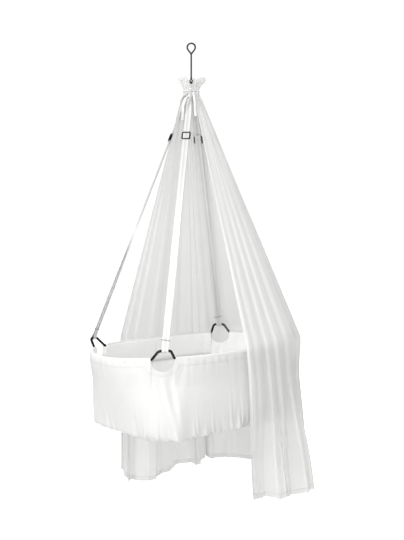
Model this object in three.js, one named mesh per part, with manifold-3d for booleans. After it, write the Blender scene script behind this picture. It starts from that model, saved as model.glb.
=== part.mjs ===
// A hanging baby cradle: a cloth tub on an oval rim, carried at four corner hangers by webbing straps
// that meet on a link under a hanging rod, with a long veil gathered round the strap tops.
// Millimetres, +Z up. The origin is the middle of the eye that the cradle hangs by, +X points along
// the tub to its veiled head end, and -Y is the near side, where the veil is open.
import * as THREE from "three";
import { mergeVertices } from "three/addons/utils/BufferGeometryUtils.js";
import Module from "manifold-3d";

const wasm = await Module();
wasm.setup();
const { PI, sin, cos, abs, sign, sqrt, hypot, min, max, exp, atan, atan2 } = Math;
const V = (x, y, z) => new THREE.Vector3(x, y, z);
const rad = THREE.MathUtils.degToRad;
const lerp = THREE.MathUtils.lerp;
const smooth = (t) => THREE.MathUtils.smoothstep(t, 0, 1);

// Clearances shared by all pieces
const seat = 0.3; // between pieces that rest on each other
const sunk = 1; // how far a welded piece runs into its neighbour

// Driving dimensions, all radii are of the bar or wire itself
const eye = { loop: 16.5, wire: 3.5, neck: 27 };
const rod = { radius: 3.5, bottom: 131, collar: 1.2, collarHeight: 7 };
const hook = { loop: 7.5, wire: 2.5 };
const link = { halfWidth: 18.5, height: 16, corner: 5.5, wire: 2.5 };
const webbing = { width: 25, thickness: 1.6 };
const crown = { leg: 27, start: 6.5 };
const rim = { halfLength: 455, halfWidth: 262, drop: 1227, forward: 22, sag: 8 };
const hanger = { bar: 5, longEnd: 295, shortEnd: 375, rise: 38, out: 30, flat: 28, bend: 9, tail: 26 };
const rail = { clearance: 1, wall: 1.2, setBack: 10 };
const casing = { cloth: 1.6 };
const tub = { halfLength: 390, halfWidth: 270, depth: 303, cloth: 3, edge: 14, bulge: 7, scoop: 36 };
const board = { inset: 15, thickness: 9 };
const mattress = { inset: 24, thickness: 50, crown: 12, round: 12, drawIn: 5 };
const buckle = { width: 36, height: 32, bar: 3.6, plate: 2.4, post: 3, corner: 4, depthBelowEye: 370 };
const keeper = { wire: 0.8, halfWidth: 15.5, corner: 2, above: 40 };
const strap = { converge: 26, straight: 130, turnEnd: 600, twistStart: 62, twist: 70, tailAbove: 8 };
const neck = { top: 127, ruffle: 30, tieLevel: 180, bottom: 216, cloth: 7, gather: 4, flare: 4 };
const veil = {
  atRim: 13, atTub: 9, flareLength: 58, flareWidth: 51, shoulder: 27, hem: 1842, cloth: 3, foldRim: 7,
  foldHem: 22, tent: 24, seam: 0.8, topGap: 1,
};
const tie = { cord: 2.4, tapeWidth: 9, tapeThickness: 1.4, knot: 7, knotDepth: 12, loopLength: 14,
  loopWidth: 7 };
const tail = { leftDrop: 115, leftAcross: -35, rightDrop: 100, rightAcross: 18, forward: 8 };

// Pure numbers: how square each oval is, and shares of the lengths above
const rimSquareness = 2.59;
const tubSquareness = 5;
const padSquareness = 3.6; // rounder than the tub, so that the mattress lifts out past the rim
const veilSquareness = 2.9;
const tentSpread = 0.2; // how far round the veil the hangers hold it out, in radians
const tentShare = 0.3; // how far down the drop that shows
const veilFolds = 19;
const veilSwells = 7;
const neckSides = 42;
const swellShare = 0.2;
const upperDropShares = [0, 0.12, 0.3, 0.55, 0.8, 1];
const lowerDropShares = [0.25, 0.6, 1];
const tubWallShares = [0, 0.35, 0.7, 1];
const padEdgeShare = 0.3;
const padCrownShares = [1, 0.75, 0.4];
const neckShare = 0.55;
const rippleShare = 0.6;
const hemRippleShare = 0.2;
// The two tape tails, each row from the knot down: across, down and forward
const tailShares = {
  left: { across: [0.2, 0.34, 0.63, 0.89, 0.94, 1], down: [0.06, 0.15, 0.23, 0.42, 0.68, 1] },
  right: { across: [0.44, 0.61, 0.72, 0.83, 0.89, 1], down: [0.09, 0.18, 0.29, 0.51, 0.75, 1] },
  forward: [0, 0, 0.4, 1.1, 1, 1],
};
const facingAngle = rad(-42); // the eye and the bow turn this side to whoever stands at the open side
const TAU = 2 * PI;

// Turns a geometry into a solid of the boolean library
function solidOf(geometry) {
  const bare = new THREE.BufferGeometry();
  bare.setAttribute("position", geometry.getAttribute("position").clone());
  if (geometry.index) bare.setIndex(geometry.index);
  const merged = mergeVertices(bare, 1e-3);
  const vertProperties = merged.attributes.position.array;
  const triVerts = new Uint32Array(merged.index.array);
  return new wasm.Manifold(new wasm.Mesh({ numProp: 3, vertProperties, triVerts }));
}

function geometryOf(solid) {
  const mesh = solid.getMesh();
  const geometry = new THREE.BufferGeometry();
  geometry.setAttribute("position", new THREE.BufferAttribute(mesh.vertProperties, mesh.numProp));
  geometry.setIndex(new THREE.BufferAttribute(mesh.triVerts, 1));
  return geometry;
}

const welded = (...pieces) => geometryOf(pieces.map(solidOf).reduce((all, one) => all.add(one)));

// Closed surface from points and triangles, turned so that its faces point out
function closedBody(points, faces) {
  let volume = 0;
  for (const [a, b, c] of faces)
    volume += points[a].dot(V(0, 0, 0).crossVectors(points[b], points[c]));
  const geometry = new THREE.BufferGeometry().setFromPoints(points);
  geometry.setIndex(faces.flatMap(([a, b, c]) => (volume < 0 ? [a, c, b] : [a, b, c])));
  return geometry;
}

// Skin over a row of loops with equal counts of points: round again when ring is true, else capped
function loft(loops, ring = false) {
  const count = loops[0].length;
  const points = loops.flat();
  const faces = [];
  const bands = ring ? loops.length : loops.length - 1;
  for (let i = 0; i < bands; i++) {
    const here = i * count;
    const next = ((i + 1) % loops.length) * count;
    for (let j = 0; j < count; j++) {
      const k = (j + 1) % count;
      faces.push([here + j, here + k, next + k], [here + j, next + k, next + j]);
    }
  }
  if (!ring) {
    for (const [row, turn] of [[0, true], [loops.length - 1, false]]) {
      const middle = points.length;
      points.push(loops[row].reduce((sum, p) => sum.add(p), V(0, 0, 0)).divideScalar(count));
      for (let j = 0; j < count; j++) {
        const a = row * count + j;
        const b = row * count + ((j + 1) % count);
        faces.push(turn ? [middle, b, a] : [middle, a, b]);
      }
    }
  }
  return closedBody(points, faces);
}

// Flat band along a row of points, with a vector across it at each point
function band(path, across, width, thickness) {
  const loops = path.map((p, i) => {
    const before = path[max(i - 1, 0)];
    const after = path[min(i + 1, path.length - 1)];
    const side = across[i].clone().normalize();
    const face = after.clone().sub(before).cross(side).normalize();
    const corner = (a, b) =>
      p.clone().addScaledVector(side, (a * width) / 2).addScaledVector(face, (b * thickness) / 2);
    return [corner(1, 1), corner(-1, 1), corner(-1, -1), corner(1, -1)];
  });
  return loft(loops);
}

// Cloth of even thickness on a grid of points, whose outer columns only guide the slope at its sides
function sheet(grid, thickness) {
  const rows = grid.length;
  const cols = grid[0].length - 2;
  const front = [];
  const back = [];
  for (let i = 0; i < rows; i++)
    for (let j = 1; j <= cols; j++) {
      const down = grid[min(i + 1, rows - 1)][j].clone().sub(grid[max(i - 1, 0)][j]);
      const along = grid[i][j + 1].clone().sub(grid[i][j - 1]);
      const face = down.cross(along).normalize().multiplyScalar(thickness / 2);
      front.push(grid[i][j].clone().add(face));
      back.push(grid[i][j].clone().sub(face));
    }
  const half = front.length;
  const at = (i, j) => i * cols + j;
  const faces = [];
  const quad = (a, b, c, d) => faces.push([a, b, c], [a, c, d]);
  for (let i = 0; i < rows - 1; i++)
    for (let j = 0; j < cols - 1; j++) {
      const [a, b, c, d] = [at(i, j), at(i + 1, j), at(i + 1, j + 1), at(i, j + 1)];
      quad(a, b, c, d);
      quad(half + a, half + d, half + c, half + b);
    }
  for (let i = 0; i < rows - 1; i++) {
    quad(at(i, 0), half + at(i, 0), half + at(i + 1, 0), at(i + 1, 0));
    quad(at(i + 1, cols - 1), half + at(i + 1, cols - 1), half + at(i, cols - 1), at(i, cols - 1));
  }
  for (let j = 0; j < cols - 1; j++) {
    quad(at(0, j + 1), half + at(0, j + 1), half + at(0, j), at(0, j));
    quad(at(rows - 1, j), half + at(rows - 1, j), half + at(rows - 1, j + 1), at(rows - 1, j + 1));
  }
  return closedBody(front.concat(back), faces);
}

// Round bar along an open path, with a bore when one is given
function bar(path, radius, steps, sides, bore = 0) {
  const section = new THREE.Shape();
  section.absarc(0, 0, radius, 0, TAU);
  if (bore) section.holes.push(new THREE.Path().absarc(0, 0, bore, 0, TAU, true));
  return new THREE.ExtrudeGeometry(section, { steps, curveSegments: sides / 2, extrudePath: path });
}

// Straight pieces through the points, with each inner corner rounded off
function roundedPath(points, cut, closed = false) {
  const path = new THREE.CurvePath();
  const count = points.length;
  const toward = (a, b) => a.clone().addScaledVector(b.clone().sub(a).normalize(), cut);
  let from = closed ? toward(points[0], points[1]) : points[0];
  const last = closed ? count : count - 2;
  for (let i = 1; i <= last; i++) {
    const corner = points[i % count];
    const entry = toward(corner, points[(i - 1) % count]);
    const exit = toward(corner, points[(i + 1) % count]);
    path.add(new THREE.LineCurve3(from, entry));
    path.add(new THREE.QuadraticBezierCurve3(entry, corner, exit));
    from = exit;
  }
  if (!closed) path.add(new THREE.LineCurve3(from, points[count - 1]));
  return path;
}

// Ovals seen from above
const oval = (halfLength, halfWidth, power) => (angle) =>
  (abs(cos(angle) / halfLength) ** power + abs(sin(angle) / halfWidth) ** power) ** (-1 / power);
const rimOval = oval(rim.halfLength, rim.halfWidth, rimSquareness);
const tubOval = oval(tub.halfLength, tub.halfWidth, tubSquareness);
// The veil clears the rim at its ends, and the wider of rim and tub at its sides
const veilHalfLength = rim.halfLength + veil.atRim;
const veilHalfWidth = max(rim.halfWidth, tub.halfWidth) + veil.atTub;
const veilRimOval = oval(veilHalfLength, veilHalfWidth, veilSquareness);
const veilHemOval = oval(veilHalfLength + veil.flareLength, veilHalfWidth + veil.flareWidth, veilSquareness);

// Angles that divide an oval between two angles into equal lengths
function evenAngles(radiusAt, from, to, count) {
  const fine = 720;
  const angles = [];
  const lengths = [0];
  let before;
  for (let i = 0; i <= fine; i++) {
    const angle = lerp(from, to, i / fine);
    const here = [radiusAt(angle) * cos(angle), radiusAt(angle) * sin(angle)];
    if (before) lengths.push(lengths[i - 1] + hypot(here[0] - before[0], here[1] - before[1]));
    angles.push(angle);
    before = here;
  }
  let k = 1;
  return Array.from({ length: count + 1 }, (_, i) => {
    const wanted = (lengths[fine] * i) / count;
    while (k < fine && lengths[k] < wanted) k++;
    const part = (wanted - lengths[k - 1]) / (lengths[k] - lengths[k - 1]);
    return lerp(angles[k - 1], angles[k], part);
  });
}

// Angle on the rim that lies a given distance on from another
function angleOnRim(from, distance) {
  const step = sign(distance) / 5000;
  let angle = from;
  let gone = 0;
  while (gone < abs(distance)) {
    const [a, b] = [rimOval(angle), rimOval(angle + step)];
    gone += sqrt(a * a + b * b - 2 * a * b * cos(step));
    angle += step;
  }
  return angle;
}

// Angles of the hanger's two ends in the first quarter of the rim
const rimAngleAt = (x) =>
  atan2(rim.halfWidth * (1 - (x / rim.halfLength) ** rimSquareness) ** (1 / rimSquareness), x);
const longEndAngle = rimAngleAt(hanger.longEnd);
const shortEndAngle = rimAngleAt(hanger.shortEnd);

// The same angle brought into the first quarter
const quarter = (angle) => atan2(abs(sin(angle)), abs(cos(angle)));
const sagAt = (angle) =>
  quarter(angle) < shortEndAngle ? -rim.sag * cos((quarter(angle) / shortEndAngle) * (PI / 2)) ** 2 : 0;
const around = (radius, angle, z) => V(radius * cos(angle), radius * sin(angle) - rim.forward, z);
const rimPoint = (angle) => around(rimOval(angle), angle, sagAt(angle) - rim.drop);

const corners = [
  { name: "foot_near", x: -1, y: -1 },
  { name: "foot_far", x: -1, y: 1 },
  { name: "head_near", x: 1, y: -1 },
  { name: "head_far", x: 1, y: 1 },
];
// An angle of the first quarter, mirrored to a corner's own quarter
const mirrored = (corner, angle) => atan2(corner.y * sin(angle), corner.x * cos(angle));

const steel = { color: 0x6d6f73, roughness: 0.22, metalness: 1 };
const blackSteel = { color: 0x2b2c2f, roughness: 0.25, metalness: 1 };
const webbingCloth = { color: 0xf2f2f0, roughness: 0.85, metalness: 0 };
const tubCloth = { color: 0xf5f5f3, roughness: 0.9, metalness: 0 };
const veilCloth = { color: 0xf0f0ee, roughness: 0.95, metalness: 0 };
const boardWood = { color: 0xd9c7a6, roughness: 0.7, metalness: 0 };
const tickingCloth = { color: 0xf4f3ef, roughness: 0.9, metalness: 0 };

const cradle = new THREE.Group();
function add(name, geometry, look, parent = cradle) {
  const mesh = new THREE.Mesh(geometry, new THREE.MeshStandardMaterial(look));
  mesh.name = name;
  parent.add(mesh);
  return mesh;
}

// Hanging rod: a drop shaped eye bent from the rod, and a small closed hook loop at its foot
const seatWire = rod.bottom + 2 * hook.loop; // depth of the hook loop's lowest wire
function hangingRod() {
  const right = V(cos(facingAngle), sin(facingAngle), 0);
  const inEye = (h, z) => right.clone().multiplyScalar(h).setZ(z);
  const drop = [inEye(0, -eye.neck)];
  for (let a = -40; a <= 220; a += 26) drop.push(inEye(eye.loop * cos(rad(a)), eye.loop * sin(rad(a))));
  drop.push(inEye(0, -eye.neck));
  const loop = bar(new THREE.CatmullRomCurve3(drop), eye.wire, 26, 8);
  const length = rod.bottom - eye.neck + 2 * sunk;
  const shaft = new THREE.CylinderGeometry(rod.radius, rod.radius, length, 12);
  shaft.rotateX(PI / 2).translate(0, 0, -eye.neck - length / 2 + sunk);
  const collar = new THREE.CylinderGeometry(rod.radius - sunk / 2, rod.radius + rod.collar,
    rod.collarHeight, 12);
  collar.rotateX(-PI / 2).translate(0, 0, -rod.bottom + rod.collarHeight / 2);
  const ring = new THREE.TorusGeometry(hook.loop, hook.wire, 8, 16);
  ring.rotateX(PI / 2).translate(0, 0, -rod.bottom - hook.loop);
  return welded(loop, shaft, collar, ring);
}

// Link: a wide wire ring whose top bar rides on the hook and whose bottom bar carries the webbing
const linkTop = -seatWire + hook.wire + link.wire + seat;
const linkBar = linkTop - link.height;
function swingLink() {
  const { halfWidth } = link;
  const frame = [V(0, -halfWidth, linkTop), V(0, halfWidth, linkTop), V(0, halfWidth, linkBar),
    V(0, -halfWidth, linkBar)];
  return new THREE.TubeGeometry(roundedPath(frame, link.corner, true), 32, link.wire, 6, true);
}

// Hanger frame of each corner: its bar's apex, the line of its flat and the way out of the tub
function hangerFrame(corner) {
  const longEnd = rimPoint(mirrored(corner, longEndAngle));
  const shortEnd = rimPoint(mirrored(corner, shortEndAngle));
  const along = shortEnd.clone().sub(longEnd).normalize();
  const out = V(corner.x * abs(along.y), corner.y * abs(along.x), 0);
  const apex = longEnd.clone().add(shortEnd).multiplyScalar(0.5).addScaledVector(out, hanger.out);
  return { longEnd, shortEnd, along, out, apex: apex.setZ(hanger.rise - rim.drop) };
}

function cornerHanger(corner) {
  const { along, apex } = hangerFrame(corner);
  const path = new THREE.CurvePath();
  const stepsInRail = 4;
  const half = (endAngle, otherAngle, side) => {
    const way = sign(endAngle - otherAngle);
    const onRim = (distance) => rimPoint(mirrored(corner, angleOnRim(endAngle, way * distance)));
    const inRail = Array.from({ length: stepsInRail + 1 }, (_, i) =>
      onRim(lerp(hanger.tail, hanger.bend, i / stepsInRail)));
    const end = rimPoint(mirrored(corner, endAngle));
    const shoulder = apex.clone().addScaledVector(along, side * (hanger.flat / 2 + hanger.bend));
    const up = shoulder.clone().sub(end).normalize();
    const legFoot = end.clone().addScaledVector(up, hanger.bend);
    const legTop = shoulder.clone().addScaledVector(up, -hanger.bend);
    const flatEnd = apex.clone().addScaledVector(along, (side * hanger.flat) / 2);
    return [
      new THREE.CatmullRomCurve3(inRail),
      new THREE.QuadraticBezierCurve3(inRail[stepsInRail], end, legFoot),
      new THREE.LineCurve3(legFoot, legTop),
      new THREE.QuadraticBezierCurve3(legTop, shoulder, flatEnd),
    ];
  };
  const shortHalf = half(shortEndAngle, longEndAngle, 1);
  const longHalf = half(longEndAngle, shortEndAngle, -1);
  for (const piece of shortHalf) path.add(piece);
  path.add(new THREE.LineCurve3(shortHalf[3].v2, longHalf[3].v2));
  const backwards = longHalf.reverse();
  path.add(new THREE.QuadraticBezierCurve3(backwards[0].v2, backwards[0].v1, backwards[0].v0));
  path.add(new THREE.LineCurve3(backwards[1].v2, backwards[1].v1));
  path.add(new THREE.QuadraticBezierCurve3(backwards[2].v2, backwards[2].v1, backwards[2].v0));
  path.add(new THREE.CatmullRomCurve3([...backwards[3].points].reverse()));
  return bar(path, hanger.bar, 30, 8);
}

// Strap run of a corner: an axis line from the hanger's apex up to the webbing crown. The outer
// layer lies half a pitch outside the axis and the inner layer half a pitch inside it.
const pitch = webbing.thickness + buckle.post + 2 * seat;
const crownOffset = link.wire + seat + webbing.thickness / 2;
const slope = atan(
  (hangerFrame(corners[3]).apex.x - crownOffset) / (linkBar - hangerFrame(corners[3]).apex.z));
const outside = (across, up, corner) => {
  const face = across.clone().cross(up).normalize();
  return face.x * corner.x + face.y * corner.y < 0 ? face.negate() : face;
};
function strapRun(corner) {
  const { apex, along } = hangerFrame(corner);
  const layer = corner.y * (webbing.thickness + seat); // far straps outside the crown's leg, near ones inside
  const top = V(corner.x * cos(slope), 0, sin(slope)).multiplyScalar(crownOffset + layer)
    .add(V(corner.x * sin(slope), 0, -cos(slope)).multiplyScalar(crown.start))
    .add(V(0, 0, linkBar));
  let axisTop = top;
  let up;
  const flatTop = V(0, corner.y, 0);
  for (let i = 0; i < 3; i++) {
    up = axisTop.clone().sub(apex).normalize();
    axisTop = top.clone().addScaledVector(outside(flatTop, up, corner), -pitch / 2);
  }
  const tangent = V(0, 0, 1).cross(up).normalize();
  const low = along;
  if (tangent.dot(low) < 0) tangent.negate();
  const high = flatTop.clone();
  if (high.dot(tangent) < 0) high.negate();
  const length = axisTop.distanceTo(apex);
  const acrossAt = (s) => {
    const turn = smooth((s - strap.straight) / (strap.turnEnd - strap.straight));
    const twist = smooth((s - (length - strap.twistStart - strap.twist)) / strap.twist);
    return low.clone().lerp(tangent, turn).normalize().lerp(high, twist).normalize();
  };
  const at = (s, offset) => {
    const across = acrossAt(s);
    return apex.clone().addScaledVector(up, s).addScaledVector(outside(across, up, corner), offset);
  };
  const buckleAt = (-buckle.depthBelowEye - apex.z) / up.z;
  return { apex, up, length, acrossAt, at, buckleAt };
}

// Webbing: down from the crown through the buckle, round the hanger's bar, and back up to the buckle
function webbingStrap(corner) {
  const run = strapRun(corner);
  const path = [];
  const across = [];
  const put = (s, offset) => {
    path.push(run.at(s, offset));
    across.push(run.acrossAt(s));
  };
  const loopOffset = hanger.bar + seat + webbing.thickness / 2;
  const offsetAt = (s) => lerp(loopOffset, pitch / 2, smooth(s / strap.converge));
  const { length } = run;
  put(length, pitch / 2);
  for (let i = 0; i <= 6; i++) put(length - strap.twistStart - (strap.twist * i) / 6, pitch / 2);
  for (let i = 9; i >= 0; i--) put(lerp(strap.straight, strap.turnEnd, i / 9), pitch / 2);
  for (let i = 4; i >= 1; i--) put((strap.converge * i) / 4, offsetAt((strap.converge * i) / 4));
  const side = run.acrossAt(0);
  const out = outside(side, run.up, corner);
  const rise = run.up.clone().addScaledVector(side, -run.up.dot(side)).normalize();
  for (let i = 0; i <= 8; i++) {
    const turn = (PI * i) / 8;
    path.push(run.apex.clone().addScaledVector(out, loopOffset * cos(turn))
      .addScaledVector(rise, -loopOffset * sin(turn)));
    across.push(side);
  }
  for (let i = 1; i <= 4; i++) put((strap.converge * i) / 4, -offsetAt((strap.converge * i) / 4));
  for (let i = 0; i <= 9; i++) put(lerp(strap.straight, strap.turnEnd, i / 9), -pitch / 2);
  put(run.buckleAt + buckle.height / 2 + strap.tailAbove, -pitch / 2);
  return band(path, across, webbing.width, webbing.thickness);
}

// Places a mesh on a strap run, its X across the strap, Y up along it and Z out of the outer layer
function placeOnStrap(mesh, corner, s, offset) {
  const run = strapRun(corner);
  const across = run.acrossAt(s);
  const face = outside(across, run.up, corner);
  const side = run.up.clone().cross(face);
  mesh.position.copy(run.at(s, offset));
  mesh.quaternion.setFromRotationMatrix(new THREE.Matrix4().makeBasis(side, run.up, face));
}

// Square slide buckle: a frame on the outer face of the strap, and a post between its two layers
function slideBuckle() {
  const { width, height, bar: rib, corner } = buckle;
  const rounded = (shape, w, h, r) => {
    shape.moveTo(w - r, -h).absarc(w - r, r - h, r, -PI / 2, 0).absarc(w - r, h - r, r, 0, PI / 2);
    return shape.absarc(r - w, h - r, r, PI / 2, PI).absarc(r - w, r - h, r, PI, (3 * PI) / 2).closePath();
  };
  const ring = rounded(new THREE.Shape(), width / 2, height / 2, corner);
  ring.holes.push(rounded(new THREE.Path(), width / 2 - rib, height / 2 - rib, corner / 2));
  const low = webbing.thickness / 2 + seat;
  const frame = new THREE.ExtrudeGeometry(ring,
    { depth: buckle.plate, bevelEnabled: false, curveSegments: 2 });
  frame.translate(0, 0, low);
  const sideHeight = height - 2 * corner;
  const sideDepth = low + low + buckle.post + buckle.plate / 2;
  const cheek = (side) => new THREE.BoxGeometry(rib - sunk / 2, sideHeight, sideDepth)
    .translate((side * (width - rib)) / 2, 0, low + buckle.plate / 2 - sideDepth / 2);
  const post = new THREE.CylinderGeometry(buckle.post / 2, buckle.post / 2, width - rib, 8)
    .rotateZ(PI / 2).translate(0, 0, -low - buckle.post / 2);
  return welded(frame, cheek(1), cheek(-1), post);
}

// Wire keeper: a thin oblong ring round both layers of a strap
function wireKeeper() {
  const halfDepth = (pitch + webbing.thickness) / 2 + seat + keeper.wire;
  const w = keeper.halfWidth;
  const frame = [V(-w, 0, -halfDepth), V(w, 0, -halfDepth), V(w, 0, halfDepth), V(-w, 0, halfDepth)];
  return new THREE.TubeGeometry(roundedPath(frame, keeper.corner, true), 16, keeper.wire, 5, true);
}

// Webbing crown: a short band over the link's bar, whose legs the four strap tops are sewn to
function strapCrown() {
  const path = [];
  const leg = (side, s) => V(side * (crownOffset * cos(slope) + s * sin(slope)), 0,
    linkBar + crownOffset * sin(slope) - s * cos(slope));
  path.push(leg(-1, crown.leg), leg(-1, crown.leg / 2));
  for (let i = 0; i <= 8; i++) {
    const a = lerp(PI - slope, slope, i / 8);
    path.push(V(crownOffset * cos(a), 0, linkBar + crownOffset * sin(a)));
  }
  path.push(leg(1, crown.leg / 2), leg(1, crown.leg));
  return band(path, path.map(() => V(0, 1, 0)), webbing.width, webbing.thickness);
}

// Rim rails: four tubes between the hangers, each over a hanger's end at both its own ends, in a
// cloth casing of the same run
const railBore = hanger.bar + rail.clearance;
const railRadius = railBore + rail.wall;
const casingBore = railRadius + seat;
const casingRadius = casingBore + casing.cloth;
const sides = [
  { name: "head", from: -shortEndAngle, to: shortEndAngle, steps: 12 },
  { name: "far", from: longEndAngle, to: PI - longEndAngle, steps: 14 },
  { name: "foot", from: PI - shortEndAngle, to: PI + shortEndAngle, steps: 12 },
  { name: "near", from: PI + longEndAngle, to: TAU - longEndAngle, steps: 14 },
];
function railPath(side) {
  const from = angleOnRim(side.from, rail.setBack);
  const to = angleOnRim(side.to, -rail.setBack);
  return new THREE.CatmullRomCurve3(evenAngles(rimOval, from, to, 12).map(rimPoint));
}

// Cloth tub: one open shell, round scoops under the hangers, soft lower edge and flat underside
function tubShell() {
  const angles = evenAngles(rimOval, 0, TAU, 72).slice(0, -1);
  const floor = -rim.drop - tub.depth;
  const underCasing = -rim.drop - casingRadius - seat;
  const topAt = (angle) => {
    const q = (quarter(angle) - shortEndAngle) / (longEndAngle - shortEndAngle);
    const inScoop = q > 0 && q < 1;
    return underCasing + sagAt(angle) - (inScoop ? tub.scoop * sqrt(sin(q * PI)) : 0);
  };
  const wallAt = (angle, z, offset) => {
    const h = (z - floor) / tub.depth;
    const radius = lerp(tubOval(angle), rimOval(angle), smooth(h)) + tub.bulge * sin(PI * h);
    return around(radius + offset, angle, z);
  };
  const half = tub.cloth / 2;
  const ring = (place) => angles.map(place);
  const edge = (turn, offset) => ring((a) =>
    around(tubOval(a) - tub.edge * (1 - sin(turn)) + offset * sin(turn), a,
      floor + half + tub.edge * (1 - cos(turn)) - offset * cos(turn)));
  const wall = (share, offset) => ring((a) => wallAt(a, lerp(floor + tub.edge, topAt(a), share), offset));
  const face = (offset) =>
    [edge(0, offset), edge(PI / 4, offset), ...tubWallShares.map((share) => wall(share, offset))];
  return loft([...face(half), ...face(-half).reverse()]);
}

// Base board lying in the tub
const boardBottom = -rim.drop - tub.depth + tub.cloth + seat;
const insetTub = (inset, squareness) => oval(tub.halfLength - inset, tub.halfWidth - inset, squareness);
function baseBoard() {
  const radiusAt = insetTub(board.inset, tubSquareness);
  const points = evenAngles(radiusAt, 0, TAU, 64).slice(0, -1)
    .map((a) => new THREE.Vector2(radiusAt(a) * cos(a), radiusAt(a) * sin(a)));
  const slab = new THREE.ExtrudeGeometry(new THREE.Shape(points),
    { depth: board.thickness, bevelEnabled: false });
  return slab.translate(0, -rim.forward, boardBottom);
}

// Mattress: flat underneath, rounded edges, sides drawn in between the corners, crowned top
function mattressPad() {
  const radiusAt = insetTub(mattress.inset, padSquareness);
  const angles = evenAngles(radiusAt, 0, TAU, 40).slice(0, -1);
  const low = boardBottom + board.thickness + seat;
  const high = low + mattress.thickness;
  const ring = (inset, z, pull) => angles.map((a) =>
    around(radiusAt(a) - inset - pull * mattress.drawIn * cos(2 * a) ** 2, a, z));
  const crownRing = (share) => angles.map((a) =>
    around((radiusAt(a) - mattress.round) * share, a, high + mattress.crown * (1 - share ** 3)));
  const { round } = mattress;
  const edge = round * padEdgeShare;
  return loft([
    ring(round, low, 0), ring(edge, low + edge, padEdgeShare), ring(0, low + round, 1),
    ring(0, high - round, 1), ring(edge, high - edge, padEdgeShare), ...padCrownShares.map(crownRing),
  ]);
}

// How far the strap tops reach out from the middle at a height, so that the veil can be tied round them
const strapRuns = corners.map((corner) => ({ corner, run: strapRun(corner) }));
function bundleRadius(z) {
  const reach = strapRuns.flatMap(({ corner, run }) => {
    const s = run.length - (run.at(run.length, pitch / 2).z - z) / run.up.z;
    const side = run.acrossAt(s);
    const face = outside(side, run.up, corner).multiplyScalar(webbing.thickness / 2);
    return [1, -1].map((way) => {
      const edge = run.at(s, pitch / 2).addScaledVector(side, (way * webbing.width) / 2).add(face);
      return hypot(edge.x, edge.y);
    });
  });
  return max(...reach) / cos(PI / neckSides) + seat;
}
const tieInner = bundleRadius(-neck.tieLevel - tie.cord);
const skirtInner = bundleRadius(-neck.bottom);

// Veil neck: cloth gathered round the strap tops, tied in at one level, with a ruffle above it
function veilNeck() {
  const levels = [
    { z: -neck.top, inner: neck.ruffle, share: 1 },
    { z: -lerp(neck.top, neck.tieLevel, neckShare), inner: tieInner + neck.gather / 2,
      share: rippleShare },
    { z: -neck.tieLevel + tie.cord, inner: tieInner, share: 0 },
    { z: -neck.tieLevel - tie.cord, inner: tieInner, share: 0 },
    { z: -(neck.tieLevel + neck.bottom) / 2, inner: lerp(tieInner, skirtInner, neckShare),
      share: rippleShare },
    { z: -neck.bottom, inner: skirtInner, share: hemRippleShare },
  ];
  const ring = ({ z, inner, share }, cloth) => Array.from({ length: neckSides }, (_, j) => {
    const a = (TAU * j) / neckSides;
    const ripple = share * neck.gather * (1 + cos(12 * a));
    const lift = z === -neck.top ? neck.flare * sin(3 * a + 1) : 0;
    return V((inner + ripple + cloth) * cos(a), (inner + ripple + cloth) * sin(a), z + lift);
  });
  const outer = levels.map((level) => ring(level, neck.cloth));
  const inner = levels.map((level) => ring(level, 0)).reverse();
  return loft([...outer, ...inner], true);
}

// Veil drops: five widths of one cloth, straight from the neck to the rim's level, and hanging
// from there to the hem. q runs across the whole veil from its near front edge to its far edge.
const dropNames = ["near", "head_near", "head", "head_far", "far"];
const neckEdgeAngles = [rad(-111), rad(142)];
const rimEdgeAngles = [rad(-86), rad(124)];
const hemEdgeAngles = [rad(-82), rad(113)];
const fineAcross = 400;
const rimAngles = evenAngles(veilRimOval, ...rimEdgeAngles, fineAcross);
const hemAngles = evenAngles(veilHemOval, ...hemEdgeAngles, fineAcross);
const angleAt = (table, q) => {
  const place = q * fineAcross;
  const k = max(0, min(Math.floor(place), fineAcross - 1));
  return lerp(table[k], table[k + 1], place - k);
};
// The head hangers hold the veil out like tent poles
const headApexes = corners.filter((corner) => corner.x > 0).map((corner) => hangerFrame(corner).apex);
const tentAngles = headApexes.map((apex) => atan2(apex.y + rim.forward, apex.x));
const tentAt = (angle, lower) => {
  const away = min(...tentAngles.map((tent) => abs(angle - tent))) / tentSpread;
  return veil.tent * exp(-away * away) * (1 - smooth(lower / tentShare));
};
function veilPoint(q, z) {
  const neckRadius = skirtInner + neck.cloth / 2;
  const neckAngle = lerp(...neckEdgeAngles, q);
  const start = V(neckRadius * cos(neckAngle), neckRadius * sin(neckAngle), z);
  const shoulder = veil.shoulder - rim.drop;
  const rimAngle = angleAt(rimAngles, q);
  const hemAngle = angleAt(hemAngles, q);
  const upper = (-neck.bottom - z) / (-neck.bottom - shoulder);
  const lower = (shoulder - z) / (shoulder + veil.hem);
  const waveShare = sin(PI * veilFolds * q) ** 2 + swellShare * sin(TAU * veilSwells * q) ** 2;
  if (upper < 1) {
    const fold = veil.foldRim * waveShare * smooth(upper) * upper;
    const reach = veilRimOval(rimAngle) + fold + tentAt(rimAngle, 0);
    const p = start.lerp(around(reach, rimAngle, z), upper);
    return p.setZ(z);
  }
  const fold = lerp(veil.foldRim, veil.foldHem, smooth(lower)) * waveShare;
  const edge = around(veilRimOval(rimAngle) + fold + tentAt(rimAngle, lower), rimAngle, z);
  return edge.lerp(around(veilHemOval(hemAngle) + fold, hemAngle, z), lower);
}
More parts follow.
